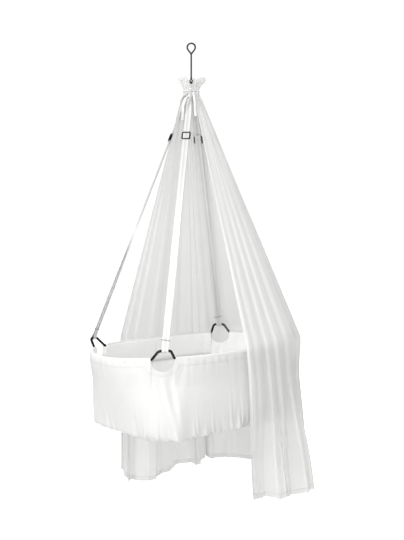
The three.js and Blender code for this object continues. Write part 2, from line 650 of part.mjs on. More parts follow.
function veilDrop(index) {
  const columns = 20;
  const top = -neck.bottom - veil.topGap;
  const shoulder = veil.shoulder - rim.drop;
  const levels = [
    ...upperDropShares.map((share) => lerp(top, shoulder, share)),
    ...lowerDropShares.map((share) => lerp(shoulder, -veil.hem, share)),
  ];
  const count = dropNames.length;
  const grid = levels.map((z) => {
    const width = veilPoint(index / count, z).distanceTo(veilPoint((index + 1) / count, z));
    const margin = veil.seam / 2 / width / count;
    return Array.from({ length: columns + 3 }, (_, j) =>
      veilPoint(lerp(index / count + margin, (index + 1) / count - margin, (j - 1) / columns), z));
  });
  return sheet(grid, veil.cloth);
}

// Tie cord round the neck, its bow and the two tape tails that hang from the knot
const tieRadius = tieInner + neck.cloth + seat + tie.cord;
const right = V(cos(facingAngle), sin(facingAngle), 0);
const front = V(sin(facingAngle), -cos(facingAngle), 0);
const onFront = (across, out, z) =>
  V(0, 0, z).addScaledVector(right, across).addScaledVector(front, out);
const knotOut = tieRadius + tie.cord + seat + tie.knotDepth;
function veilBow() {
  const knot = new THREE.SphereGeometry(tie.knot, 12, 8);
  knot.scale(1, tie.knotDepth / tie.knot, 1).rotateZ(facingAngle);
  knot.translate(...onFront(0, knotOut, -neck.tieLevel).toArray());
  const loop = (turn) => {
    const petal = new THREE.TorusGeometry(tie.loopWidth, tie.cord, 6, 14);
    petal.scale(tie.loopLength / tie.loopWidth, 1, 1).translate(tie.loopLength, 0, 0);
    petal.rotateZ(turn).rotateX(PI / 2).rotateZ(facingAngle);
    return petal.translate(...onFront(0, knotOut + tie.cord, -neck.tieLevel).toArray());
  };
  return welded(knot, loop(rad(-12)), loop(rad(-122)));
}

// Tape tail from just under the knot, behind the bow's loops and then down in front of the veil
function tapeTail(side) {
  const shares = tailShares[side];
  const way = sign(tail[side + "Across"]);
  const startZ = -neck.tieLevel - tie.knot - seat;
  const startOut = knotOut - tie.tapeThickness;
  const route = [onFront((way * (tie.tapeWidth + seat)) / 2, startOut, startZ)];
  shares.across.forEach((share, i) => route.push(onFront(
    share * tail[side + "Across"], startOut + tailShares.forward[i] * tail.forward,
    startZ - shares.down[i] * tail[side + "Drop"])));
  const path = new THREE.CatmullRomCurve3(route).getSpacedPoints(14);
  return band(path, path.map(() => right), tie.tapeWidth, tie.tapeThickness);
}

add("hanging_rod", hangingRod(), steel);
add("swing_link", swingLink(), steel);
add("strap_crown", strapCrown(), webbingCloth);
for (const corner of corners) {
  add("strap_" + corner.name, webbingStrap(corner), webbingCloth);
  add("corner_hanger_" + corner.name, cornerHanger(corner), blackSteel);
  const slide = add("strap_buckle_" + corner.name, slideBuckle(), blackSteel);
  placeOnStrap(slide, corner, strapRun(corner).buckleAt, pitch / 2);
  const clip = add("strap_keeper_" + corner.name, wireKeeper(), steel);
  placeOnStrap(clip, corner, keeper.above, 0);
}
for (const side of sides) {
  add("rim_rail_" + side.name, bar(railPath(side), railRadius, side.steps, 8, railBore), steel);
  add("rim_casing_" + side.name, bar(railPath(side), casingRadius, side.steps, 8, casingBore), tubCloth);
}
add("basket_tub", tubShell(), tubCloth);
add("base_board", baseBoard(), boardWood);
add("mattress", mattressPad(), tickingCloth);
add("veil_neck", veilNeck(), veilCloth);
dropNames.forEach((name, index) => add("veil_drop_" + name, veilDrop(index), veilCloth));
const cordRing = new THREE.TorusGeometry(tieRadius, tie.cord, 6, 42).translate(0, 0, -neck.tieLevel);
add("veil_tie", cordRing, webbingCloth);
add("veil_bow", veilBow(), webbingCloth);
for (const side of ["left", "right"]) add("veil_tail_" + side, tapeTail(side), webbingCloth);

export default cradle;
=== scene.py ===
"""Dresses the packed hanging baby cradle with its cloth, webbing, tape and metal finishes."""

import math

import bmesh
import bpy
import numpy as np
from bpy.props import FloatProperty, FloatVectorProperty, PointerProperty
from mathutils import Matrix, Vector


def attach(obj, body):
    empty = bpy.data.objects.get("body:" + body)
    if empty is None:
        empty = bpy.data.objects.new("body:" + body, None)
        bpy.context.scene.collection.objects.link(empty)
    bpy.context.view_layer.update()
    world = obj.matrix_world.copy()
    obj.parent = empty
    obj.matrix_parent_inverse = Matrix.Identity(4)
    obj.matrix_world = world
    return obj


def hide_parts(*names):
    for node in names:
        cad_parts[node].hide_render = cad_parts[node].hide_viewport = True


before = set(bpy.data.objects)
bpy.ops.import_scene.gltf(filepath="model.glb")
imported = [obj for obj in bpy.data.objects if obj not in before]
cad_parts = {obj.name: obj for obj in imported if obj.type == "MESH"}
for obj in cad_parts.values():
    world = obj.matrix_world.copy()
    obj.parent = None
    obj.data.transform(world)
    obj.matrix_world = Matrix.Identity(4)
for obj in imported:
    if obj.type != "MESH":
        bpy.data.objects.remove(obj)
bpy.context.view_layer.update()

bl_info = {
    "name": "Hanging Baby Cradle",
    "version": (1, 0, 0),
    "blender": (4, 5, 0),
    "location": "View3D > Sidebar > Cradle",
    "description": "Builds the cloth, webbing, tape, padding and finishes of a hanging baby cradle",
    "category": "Add Mesh",
}

TAU = 2 * math.pi
CORNERS = {"foot_near": (-1, -1), "foot_far": (-1, 1), "head_near": (1, -1), "head_far": (1, 1)}
SIDES = ("head", "far", "foot", "near")
DROPS = ("near", "head_near", "head", "head_far", "far")
SEAM_REACH = 0.03
WHITE = (1, 1, 1, 1)
FLOAT, COLOUR = "NodeSocketFloat", "NodeSocketColor"


def metres(name, default, about):
    """A length that a user may change."""
    return FloatProperty(name=name, description=about, default=default, unit="LENGTH", subtype="DISTANCE",
                         precision=4)


def turned(name, degrees, about):
    """An angle that a user may change."""
    return FloatProperty(name=name, description=about, default=math.radians(degrees), subtype="ANGLE")


def share(name, default, about):
    """A share from 0 to 1 that a user may change."""
    return FloatProperty(name=name, description=about, default=default, min=0.0, max=1.0, subtype="FACTOR")


def tint(name, default, about):
    """A colour that a user may change."""
    return FloatVectorProperty(name=name, description=about, default=default, size=3, min=0.0, max=1.0,
                               subtype="COLOR")


class CradleFrameSizes(bpy.types.PropertyGroup):
    """Sizes of the frame that the cloth and webbing are made to."""

    rim_half_length: metres("Rim half length", 0.455, "Half the rim's length, to the middle of its rail")
    rim_half_width: metres("Rim half width", 0.262, "Half the rim's width, to the middle of its rail")
    rim_drop: metres("Rim drop", 1.227, "Depth of the rim below the hanging eye")
    rim_sag: metres("Rim sag", 0.008, "How far each end rail dips in its middle")
    forward: metres("Forward", 0.022, "How far the tub's middle lies towards the near side of the eye")
    long_end: metres("Hanger long end", 0.295, "Distance along the tub of a hanger's end in the long rail")
    short_end: metres("Hanger short end", 0.375, "Distance along the tub of a hanger's end in the short rail")
    hanger_out: metres("Hanger reach", 0.03, "How far a hanger's apex stands out past its two ends")
    hanger_rise: metres("Hanger rise", 0.038, "Height of a hanger's apex above the rim")
    hanger_bar: metres("Hanger bar", 0.005, "Radius of the hanger's bar")
    link_bar: metres("Link bar", 0.1567, "Depth of the link's lower bar below the eye")
    link_wire: metres("Link wire", 0.0025, "Radius of the link's wire")
    seat: metres("Seat", 0.0003, "Gap between pieces that rest on each other")


class CradleBasketLook(bpy.types.PropertyGroup):
    """The cloth tub."""

    half_length: metres("Half length", 0.39, "Half the length of the tub's flat bottom")
    half_width: metres("Half width", 0.27, "Half the width of the tub's flat bottom")
    depth: metres("Depth", 0.303, "Depth of the tub below the rim")
    bulge: metres("Bulge", 0.007, "How far the walls swell halfway down")
    edge: metres("Edge", 0.014, "Radius of the tub's lower edge")
    scoop: metres("Scoop", 0.036, "Depth of the round scoop under each hanger")
    tunnel: metres("Tunnel", 0.0096, "Radius of the hem round the rail")
    hem: metres("Hem", 0.0023, "Radius of the rolled hem of a scoop")
    facing: metres("Facing", 0.1, "Depth of the facing inside the rim")
    cloth: metres("Cloth", 0.0012, "Thickness of the tub's cloth")
    rim_gather: metres("Rim gathers", 0.0015, "Depth of the small gathers under the rim")
    edge_gather: metres("Edge gathers", 0.01, "Depth of the gathers along the lower edge")
    slack: metres("Slack", 0.0012, "Depth of the broad dents in the slack cloth")
    tension: metres("Tension folds", 0.0155, "Height of the folds that run from each scoop to the corner below")
    tuck: metres("Tuck", 0.013, "How far the cloth comes to a point at each lower corner")
    tuck_angle: turned("Tuck angle", 40.2, "Where the tuck sits round each corner")
    band: metres("Scoop band", 0.0145, "Width of the facing sewn round each scoop")
    seam_angle: turned("Seam angle", -1, "Where the seam sits at each end")
    seam_rise: metres("Seam rise", 0.0013, "How far an end seam stands out")
    under: metres("Under hem", 0.075, "How far the gathered hem reaches in under the tub")
    colour: tint("Colour", (0.84, 0.84, 0.83), "Colour of the tub's cotton")
    # The inside is painted lighter than the outside cotton: painted light that stands in for the light the inner
    # walls lack
    inside_painted_light: tint("Inside painted lighter", (0.96, 0.96, 0.955), "Colour of the tub's inside")


class CradleStrapLook(bpy.types.PropertyGroup):
    """The webbing straps."""

    width: metres("Width", 0.025, "Width of the webbing")
    thickness: metres("Thickness", 0.0016, "Thickness of the webbing")
    post: metres("Post", 0.003, "Thickness of the buckle's post between the two layers")
    seam: metres("Seam", 0.0016, "Distance of each stitch row from the middle of the webbing")
    colour: tint("Colour", (0.75, 0.75, 0.745), "Colour of the webbing")
    glow: share("Light through", 0.2, "Share of the light that the webbing passes on softly")


class CradleVeilLook(bpy.types.PropertyGroup):
    """The veil and its tie."""

    hem_drop: metres("Hem drop", 1.842, "Depth of the veil's hem below the eye")
    rim_half_length: metres("Half length at the rim", 0.468, "Half the veil's length where it passes the rim")
    rim_half_width: metres("Half width at the rim", 0.279, "Half the veil's width where it passes the rim")
    hem_half_length: metres("Half length at the hem", 0.526, "Half the veil's length at its hem")
    hem_half_width: metres("Half width at the hem", 0.33, "Half the veil's width at its hem")
    tent: metres("Tent", 0.024, "How far the head hangers hold the veil out where it lies over them")
    shoulder: metres("Shoulder", 0.027, "How far above the rim the veil turns down")
    tie_drop: metres("Tie drop", 0.18, "Depth of the tie below the eye")
    tie_radius: metres("Tie radius", 0.0262, "Radius of the gathered cloth under the tie")
    top_drop: metres("Ruffle top", 0.127, "Depth of the ruffle's top below the eye")
    skirt_drop: metres("Skirt drop", 0.216, "Depth at which the gathered neck opens into the drops")
    skirt_radius: metres("Skirt radius", 0.0395, "Radius of the neck where it opens")
    fold_rim: metres("Fold at the rim", 0.009, "Depth of the folds at the rim")
    fold_hem: metres("Fold at the hem", 0.056, "Depth of the folds at the hem")
    cloth: metres("Cloth", 0.0006, "Thickness of the veil's cloth")
    colour: tint("Colour", (0.91, 0.91, 0.905), "Colour of the veil")
    glow: share("Light through", 0.56, "Share of the light that the veil's cloth passes on softly")
    clear: share("See-through", 0.28, "Share of the veil that is open between its threads")
    dip: metres("Hem dip", 0.017, "How far the panels' hems dip below one another")
    corner_lift: metres("Corner lift", 0.075, "How far the far front corner of the hem curls up")
    hem_band: metres("Hem band", 0.018, "Height of the veil's sewn lower hem")
    side_hem: metres("Side hem", 0.009, "Width of the hem down each front edge")
    tape_width: metres("Tape width", 0.009, "Width of the tape of the tie's tails")


class CradlePadLook(bpy.types.PropertyGroup):
    """The mattress."""

    half_length: metres("Half length", 0.366, "Half the mattress's length")
    half_width: metres("Half width", 0.246, "Half the mattress's width")
    bottom: metres("Bottom", 1.5174, "Depth of the mattress's underside below the eye")
    thickness: metres("Thickness", 0.05, "Height of the mattress's sides")
    crown: metres("Crown", 0.012, "How far the top swells in the middle")
    quilt: metres("Quilt pitch", 0.062, "Distance between the quilting lines")
    quilt_depth: metres("Quilt depth", 0.0042, "Depth of the quilting lines")
    piping: metres("Piping", 0.0026, "Radius of the piping round the edges")
    colour: tint("Colour", (0.94, 0.94, 0.93), "Colour of the mattress cover")


class CradleMetalLook(bpy.types.PropertyGroup):
    """Steel and wood finishes."""

    # These metal colours are far darker than bare polished metal, so that they stand in for dark surroundings in the
    # reflections: painted reflection
    steel: tint("Polished steel", (0.06, 0.062, 0.065), "Colour of the rod, link and keepers")
    dark: tint("Dark plate", (0.02, 0.02, 0.022), "Colour of the plated hangers and buckles")
    plate: tint("Buckle plate", (0.012, 0.012, 0.013), "Colour of the buckles")
    wood: tint("Board", (0.62, 0.47, 0.3), "Colour of the base board")


class CradleStageLook(bpy.types.PropertyGroup):
    """Camera, floor and lights."""

    camera_x: metres("Camera X", -2.2324, "Camera place along the tub")
    camera_y: metres("Camera Y", -2.5746, "Camera place across the tub")
    camera_z: metres("Camera Z", -0.7233, "Camera height below the eye")
    lens: FloatProperty(name="Lens", description="Focal length on a 36 mm sensor", default=54.63,
                        subtype="DISTANCE_CAMERA")
    pitch: turned("Pitch", 3.216, "How far the camera looks down")
    turn: turned("Turn", -41.67, "Camera heading")
    floor: metres("Floor", -2.12, "Height of the floor")


SETTINGS = {
    "cradle_frame": CradleFrameSizes,
    "cradle_basket": CradleBasketLook,
    "cradle_straps": CradleStrapLook,
    "cradle_veil": CradleVeilLook,
    "cradle_pad": CradlePadLook,
    "cradle_metal": CradleMetalLook,
    "cradle_stage": CradleStageLook,
}


# Small shape tools


def smooth(t):
    t = np.clip(t, 0.0, 1.0)
    return t * t * (3 - 2 * t)


def lerp(a, b, t):
    return a + (b - a) * t


def unit(v):
    return v / np.maximum(np.linalg.norm(v, axis=-1, keepdims=True), 1e-12)


def bump_at(x, width):
    return np.exp(-((x / width) ** 2))


def oval(half_length, half_width, power):
    def radius(angle):
        along = np.abs(np.cos(angle) / half_length) ** power
        return (along + np.abs(np.sin(angle) / half_width) ** power) ** (-1 / power)

    return radius


def even_angles(radius, start, stop, count):
    fine = np.linspace(start, stop, 1441)
    r = radius(fine)
    x, y = r * np.cos(fine), r * np.sin(fine)
    run = np.concatenate([[0], np.cumsum(np.hypot(np.diff(x), np.diff(y)))])
    return np.interp(np.linspace(0, run[-1], count + 1), run, fine)


def waver(x, seed, count=6, low=1.0, high=5.0):
    """A smooth irregular wave of about -1 to 1 along x, the same each run."""
    rng = np.random.default_rng(seed)
    rates, phases = rng.uniform(low, high, count), rng.uniform(0, TAU, count)
    return sum(np.sin(x * r * TAU + p) for r, p in zip(rates, phases)) / math.sqrt(count)


def quarter(angle):
    return np.arctan2(np.abs(np.sin(angle)), np.abs(np.cos(angle)))


class RimPlan:
    """The rim seen from above, from the frame sizes."""

    POWER = 2.59

    def __init__(self, size):
        self.size = size
        self.radius = oval(size.rim_half_length, size.rim_half_width, self.POWER)
        self.long_angle, self.short_angle = self.angle_at(size.long_end), self.angle_at(size.short_end)
        self.middle_angle = (self.long_angle + self.short_angle) / 2

    def angle_at(self, x):
        """The angle, in the first quarter, of the rim's point at x along the tub."""
        left = 1 - (x / self.size.rim_half_length) ** self.POWER
        return math.atan2(self.size.rim_half_width * left ** (1 / self.POWER), x)

    def sag(self, angle):
        part = np.minimum(quarter(angle) / self.short_angle, 1)
        return -self.size.rim_sag * np.cos(part * math.pi / 2) ** 2

    def place(self, radius, angle, z):
        return np.stack([radius * np.cos(angle), radius * np.sin(angle) - self.size.forward, z + 0 * angle], -1)

    def point(self, angle):
        return self.place(self.radius(angle), angle, self.sag(angle) - self.size.rim_drop)

    def hanger(self, corner):
        """A hanger's two ends, the line between them, the way out and its apex."""
        x, y = CORNERS[corner]
        ends = [self.point(math.atan2(y * math.sin(a), x * math.cos(a)))
                for a in (self.long_angle, self.short_angle)]
        along = unit(ends[1] - ends[0])
        out = np.array([x * abs(along[1]), y * abs(along[0]), 0])
        apex = (ends[0] + ends[1]) / 2 + out * self.size.hanger_out
        apex[2] = self.size.hanger_rise - self.size.rim_drop
        return ends, along, out, apex


class StrapRun:
    """One strap's line from the hanger's apex up to the webbing crown."""

    # Up from the apex: where the two layers have met, and where the turn to the slope starts and ends
    CONVERGE, STRAIGHT, TURN_END = 0.026, 0.13, 0.6
    # Down from the top: where the twist to the crown's flat ends, and how long it is
    TWIST_START, TWIST = 0.062, 0.07
    # How far the strap's top lies below the middle of the link's bar, along the crown
    TOP_BELOW_BAR = 0.0065

    def __init__(self, corner, rim, look):
        size = rim.size
        self.corner = CORNERS[corner]
        x, y = self.corner
        _, along, _, self.apex = rim.hanger(corner)
        self.pitch = look.thickness + look.post + 2 * size.seat
        crown = size.link_wire + size.seat + look.thickness / 2
        far_apex = rim.hanger("head_far")[3]
        slope = math.atan((far_apex[0] - crown) / (-size.link_bar - far_apex[2]))
        self.slope, self.crown = slope, crown
        layer = y * (look.thickness + size.seat)
        top = np.array([x * math.cos(slope), 0, math.sin(slope)]) * (crown + layer)
        top = top + np.array([x * math.sin(slope), 0, -math.cos(slope)]) * self.TOP_BELOW_BAR
        top[2] -= size.link_bar
        flat = np.array([0.0, y, 0.0])
        axis_top = top
        for _ in range(3):
            self.up = unit(axis_top - self.apex)
            axis_top = top - self.outside(flat) * self.pitch / 2
        tangent = unit(np.cross([0, 0, 1.0], self.up))
        self.low = along
        self.tangent = tangent * math.copysign(1, tangent @ along)
        self.high = flat * math.copysign(1, flat @ self.tangent)
        self.length = float(np.linalg.norm(axis_top - self.apex))

    def outside(self, across):
        face = unit(np.cross(across, self.up))
        return -face if face[0] * self.corner[0] + face[1] * self.corner[1] < 0 else face

    def across(self, s):
        turn = smooth((s - self.STRAIGHT) / (self.TURN_END - self.STRAIGHT))
        twist = smooth((s - (self.length - self.TWIST_START - self.TWIST)) / self.TWIST)
        return unit(lerp(unit(lerp(self.low, self.tangent, turn)), self.high, twist))

    def at(self, s, offset):
        return self.apex + self.up * s + self.outside(self.across(s)) * offset


# Mesh makers


def finish_mesh(name, verts, faces, uv=None, values=None):
    mesh = bpy.data.meshes.new(name)
    mesh.from_pydata(np.asarray(verts).reshape(-1, 3).tolist(), [], [list(map(int, f)) for f in faces])
    if uv is not None:
        layer = mesh.uv_layers.new(name="weave")
        layer.data.foreach_set("uv", np.asarray(uv, np.float32).ravel())
    for key, row in (values or {}).items():
        mesh.attributes.new(key, "FLOAT", "POINT").data.foreach_set("value", np.asarray(row, np.float32).ravel())
    mesh.polygons.foreach_set("use_smooth", np.ones(len(mesh.polygons), bool))
    mesh.update()
    piece = bpy.data.objects.new(name, mesh)
    bpy.context.scene.collection.objects.link(piece)
    return piece


def cloth_piece(name, points, uv, wrap=False, values=None):
    """A sheet on a grid of points, closed round its columns when wrap is true."""
    rows, cols = points.shape[:2]
    index = np.arange(rows * cols).reshape(rows, cols)
    if wrap:
        index = np.hstack([index, index[:, :1]])

    def corners(grid):
        return np.stack([grid[:-1, :-1], grid[1:, :-1], grid[1:, 1:], grid[:-1, 1:]], 2)

    faces = corners(index).reshape(-1, 4)
    return finish_mesh(name, points, faces, corners(uv).reshape(-1, 2), values)


def nearest(*rows):
    """1 plus the signed distance of the smallest size, point by point, cut at the seams' reach."""
    stack = np.stack(np.broadcast_arrays(*rows))
    pick = np.argmin(np.abs(stack), 0)[None]
    return 1 + np.clip(np.take_along_axis(stack, pick, 0)[0], -SEAM_REACH, SEAM_REACH)


def measured_uv(points, wrap=False):
    """Flat measures of a grid, in metres: the mean run across it and the run up from its last row."""
    closed = np.concatenate([points, points[:, :1]], 1) if wrap else points
    across = np.linalg.norm(np.diff(closed, axis=1), axis=-1).mean(0)
    down = np.linalg.norm(np.diff(closed, axis=0), axis=-1)
    u = np.concatenate([[0], np.cumsum(across)])
    v = np.concatenate([np.zeros((1, closed.shape[1])), np.cumsum(down, 0)])
    return np.stack([np.broadcast_to(u, v.shape), v[-1] - v], -1)


def skin(name, loops, closed=False, uv_across=None, values=None):
    """A closed skin over a row of equal loops, capped at its ends unless closed."""
    loops = np.asarray(loops)
    rows, count = loops.shape[:2]
    index = np.arange(rows * count).reshape(rows, count)
    index = np.hstack([index, index[:, :1]])
    if closed:
        index = np.vstack([index, index[:1]])
    faces = np.stack([index[:-1, :-1], index[:-1, 1:], index[1:, 1:], index[1:, :-1]], 2).reshape(-1, 4).tolist()
    ring = np.concatenate([loops, loops[:, :1]], 1)
    around = uv_across
    if around is None:
        around = np.concatenate([[0], np.cumsum(np.linalg.norm(np.diff(ring[0], axis=0), axis=-1))])
    line = loops.mean(1)
    line = np.vstack([line, line[:1]]) if closed else line
    along = np.concatenate([[0], np.cumsum(np.linalg.norm(np.diff(line, axis=0), axis=-1))])
    grid = np.stack(np.meshgrid(around, along), -1)
    uv = np.stack([grid[:-1, :-1], grid[:-1, 1:], grid[1:, 1:], grid[1:, :-1]], 2).reshape(-1, 2)
    if not closed:
        faces += [list(index[0, :-1][::-1]), list(index[-1, :-1])]
        caps = np.stack([np.linspace(0, 0.01, count), np.zeros(count)], -1)
        uv = np.vstack([uv, caps, caps])
    piece = finish_mesh(name, loops, faces, uv, values)
    made = bmesh.new()
    made.from_mesh(piece.data)
    bmesh.ops.recalc_face_normals(made, faces=made.faces)
    made.to_mesh(piece.data)
    made.free()
    return piece


# A direction that no line of points here runs along
SKEW_WAY = (0.31, 0.17, 0.93)


def tube_loops(points, radius, sides, closed=False):
    """Loops round a line of points, carried along it without twist."""
    points = np.asarray(points, float)
    if closed:
        ahead = unit(np.roll(points, -1, 0) - np.roll(points, 1, 0))
    else:
        ahead = unit(np.gradient(points, axis=0))
    normal = np.cross(ahead[0], SKEW_WAY)
    normals = []
    for step in ahead:
        normal = unit(normal - step * (normal @ step))
        normals.append(normal)
    normals = np.array(normals)
    if closed:
        other = np.cross(ahead[0], normals[0])
        last = unit(normals[-1] - ahead[0] * (normals[-1] @ ahead[0]))
        slip = math.atan2(last @ other, last @ normals[0])
        undo = np.linspace(0, -slip, len(points))[:, None]
        normals = normals * np.cos(undo) + np.cross(ahead, normals) * np.sin(undo)
    side = np.cross(ahead, normals)
    turn = np.arange(sides) / sides * TAU
    radius = np.broadcast_to(np.asarray(radius, float), (len(points),))[:, None, None]
    ring = normals[:, None] * np.cos(turn)[None, :, None] + side[:, None] * np.sin(turn)[None, :, None]
    return points[:, None] + ring * radius


# A woven band's section: places across its half width, and its half thickness there
BAND_ACROSS = np.array([-1, -0.96, -0.86, -0.4, 0, 0.4, 0.86, 0.96, 1])
BAND_DEPTH = np.array([0.28, 0.74, 1, 0.96, 0.94, 0.96, 1, 0.74, 0.28])


def ribbon_loops(points, across, width, thickness):
    """Loops of a woven band with soft selvedges along a line of points."""
    points, across = np.asarray(points, float), unit(np.asarray(across, float))
    ahead = unit(np.gradient(points, axis=0))
    face = unit(np.cross(ahead, across))
    x = np.concatenate([BAND_ACROSS, BAND_ACROSS[::-1]]) * width / 2
    z = np.concatenate([BAND_DEPTH, -BAND_DEPTH[::-1]]) * thickness / 2
    return points[:, None] + across[:, None] * x[None, :, None] + face[:, None] * z[None, :, None]


def catmull(points, count):
    """Evenly spaced points on a smooth line through the given ones."""
    p = np.asarray(points, float)
    p = np.vstack([2 * p[0] - p[1], p, 2 * p[-1] - p[-2]])
    out = []
    for i in range(len(p) - 3):
        t = np.linspace(0, 1, 40, endpoint=False)[:, None]
        a, b, c, d = p[i:i + 4]
        out.append(0.5 * (2 * b + (c - a) * t + (2 * a - 5 * b + 4 * c - d) * t**2
                          + (3 * b - a - 3 * c + d) * t**3))
    line = np.vstack(out + [p[-2:-1]])
    run = np.concatenate([[0], np.cumsum(np.linalg.norm(np.diff(line, axis=0), axis=-1))])
    wanted = np.linspace(0, run[-1], count)
    return np.stack([np.interp(wanted, run, line[:, k]) for k in range(3)], -1)


def thicken(piece, thickness, offset):
    modifier = piece.modifiers.new("cloth", "SOLIDIFY")
    modifier.thickness, modifier.offset = thickness, offset
    modifier.use_quality_normals = True
    return piece


def dress(piece, material, body, slot, *nodes):
    """Gives a piece its material and its body, and hides the nodes that it stands for; its slot is not used."""
    piece.data.materials.clear()
    piece.data.materials.append(material)
    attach(piece, body)
    if nodes:
        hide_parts(*nodes)


# Materials


def feed(tree, socket, value):
    """Links a socket to an input, or sets the input's value."""
    if isinstance(value, bpy.types.NodeSocket):
        tree.links.new(value, socket)
    else:
        socket.default_value = value


def node(tree, kind, **values):
    """A node with its properties, and its inputs by name or number: a socket is linked, a value is set."""
    made = tree.nodes.new("ShaderNode" + kind)
    for key, value in values.items():
        if hasattr(made, key) and key not in made.inputs:
            setattr(made, key, value)
        else:
            numbered = key[0] == "i" and key[1:].isdigit()
            feed(tree, made.inputs[int(key[1:]) if numbered else key.replace("_", " ")], value)
    return made


def math_of(tree, operation, a, b=0.0, c=0.5):
    return node(tree, "Math", operation=operation, i0=a, i1=b, i2=c).outputs[0]


def shader_group(name, inputs, outputs):
    """Turns a builder of a node group into a function that adds the group, built once, and gives its outputs."""

    def start(build):
        group = bpy.data.node_groups.new(name, "ShaderNodeTree")
        for label, default in inputs.items():
            kind = COLOUR if isinstance(default, tuple) else FLOAT
            group.interface.new_socket(label, in_out="INPUT", socket_type=kind).default_value = default
        for label in outputs:
            kind = COLOUR if label == "Colour" else FLOAT
            group.interface.new_socket(label, in_out="OUTPUT", socket_type=kind)
        given, wanted = group.nodes.new("NodeGroupInput").outputs, group.nodes.new("NodeGroupOutput").inputs
        for socket, value in zip(wanted, build(group, given)):
            group.links.new(value, socket)
        return group

    def wrap(build):
        def use(tree, **values):
            holder = node(tree, "Group")
            holder.node_tree = bpy.data.node_groups.get(name) or start(build)
            for key, value in values.items():
                feed(tree, holder.inputs[key], value)
            return holder.outputs

        return use

    return wrap


@shader_group("plain_weave", {"Threads": 1400.0}, ("Height", "Thread"))
def weave_group(tree, inputs):
    """Over and under threads of a plain weave, with slubs."""
    where = node(tree, "UVMap", uv_map="weave").outputs[0]
    slub = node(tree, "TexNoise", Vector=where, Scale=90.0, Detail=2.0).outputs["Fac"]
    parts = node(tree, "SeparateXYZ", Vector=where)
    rate = math_of(tree, "MULTIPLY", inputs["Threads"], math.pi)
    warp = math_of(tree, "SINE", math_of(tree, "MULTIPLY", parts.outputs[0], rate))
    weft = math_of(tree, "SINE", math_of(tree, "MULTIPLY", parts.outputs[1], rate))
    over = math_of(tree, "MULTIPLY", warp, weft)
    height = math_of(tree, "MULTIPLY_ADD", over, 0.5, 0.5)
    mixed = math_of(tree, "MULTIPLY", height, math_of(tree, "ADD", 0.55, slub))
    return mixed, math_of(tree, "ABSOLUTE", over)


@shader_group("soft_creases", {"Size": 14.0}, ("Height", "Tone"))
def crease_group(tree, inputs):
    """Soft creases that cross cloth at random."""
    where = node(tree, "TexCoord").outputs["Object"]
    broad = node(tree, "TexNoise", Vector=where, Scale=inputs["Size"], Detail=3.0, Roughness=0.45,
                 Distortion=0.6).outputs["Fac"]
    ridge = math_of(tree, "ABSOLUTE", math_of(tree, "SUBTRACT", broad, 0.5))
    return math_of(tree, "POWER", math_of(tree, "MULTIPLY", ridge, 2.0), 0.7), broad


@shader_group("cloth_tone", {"Colour": (0.8, 0.8, 0.8, 1.0), "Mask": 0.5, "Amount": 0.08}, ("Colour",))
def tone_group(tree, inputs):
    """Varies a cloth's colour a little by a mask."""
    tinted = node(tree, "Mix", data_type="RGBA", blend_type="MULTIPLY", i0=1.0, i6=inputs["Colour"])
    value = math_of(tree, "MULTIPLY_ADD", math_of(tree, "SUBTRACT", inputs["Mask"], 0.5), inputs["Amount"], 1.0)
    feed(tree, tinted.inputs[7], node(tree, "CombineColor", i0=value, i1=value, i2=value).outputs[0])
    return [tinted.outputs[2]]


@shader_group("stitch_row", {"Length": 0.0032}, ("Height", "Groove shade", "Folded"))
def stitch_group(tree, inputs):
    """A row of stitches along the line where the stored value is 1, its puckers, the painted shade in the groove
    beside them, and the folded hem below 1.
    """
    where = node(tree, "UVMap", uv_map="weave").outputs[0]
    parts = node(tree, "SeparateXYZ", Vector=where)
    stored = node(tree, "Attribute", attribute_name="stitch").outputs["Fac"]
    away = math_of(tree, "ABSOLUTE", math_of(tree, "SUBTRACT", stored, 1.0))
    along = math_of(tree, "ADD", parts.outputs[0], parts.outputs[1])
    rate = math_of(tree, "DIVIDE", TAU, inputs["Length"])
    beat = math_of(tree, "SINE", math_of(tree, "MULTIPLY", along, rate))
    dash = node(tree, "MapRange", i0=beat, i1=-0.5, i2=0.0).outputs[0]
    line = node(tree, "MapRange", i0=away, i1=0.0004, i2=0.0009, i3=1.0, i4=0.0).outputs[0]
    groove = node(tree, "MapRange", i0=away, i1=0.0005, i2=0.0035, i3=1.0, i4=0.0).outputs[0]
    thread = math_of(tree, "MULTIPLY", line, dash)
    height = math_of(tree, "SUBTRACT", thread, math_of(tree, "MULTIPLY", groove, 0.5))
    # Painted shade: the groove beside the stitches, less the thread itself, darkens the cloth's colour
    shade = math_of(tree, "MULTIPLY", groove, math_of(tree, "SUBTRACT", 1.0, thread))
    below, given = math_of(tree, "LESS_THAN", stored, 1.0), math_of(tree, "GREATER_THAN", stored, 0.5)
    return height, shade, math_of(tree, "MULTIPLY", below, given)


@shader_group("bar_polish", {"Base": 0.1, "Spread": 0.18}, ("Roughness", "Height", "Mask"))
def polish_group(tree, inputs):
    """Faint smears and small wear marks of polished bar."""
    where = node(tree, "TexCoord").outputs["Object"]
    smear = node(tree, "TexNoise", Vector=where, Scale=60.0, Detail=4.0, Roughness=0.6).outputs["Fac"]
    specks = node(tree, "TexNoise", Vector=where, Scale=900.0, Detail=2.0).outputs["Fac"]
    rough = math_of(tree, "MULTIPLY_ADD", smear, inputs["Spread"], inputs["Base"])
    return rough, math_of(tree, "ADD", specks, smear), smear


def new_material(name):
    material = bpy.data.materials.new(name)
    material.use_nodes = True
    material.node_tree.nodes.clear()
    return material, material.node_tree


def rgba(colour):
    return (*colour, 1.0)


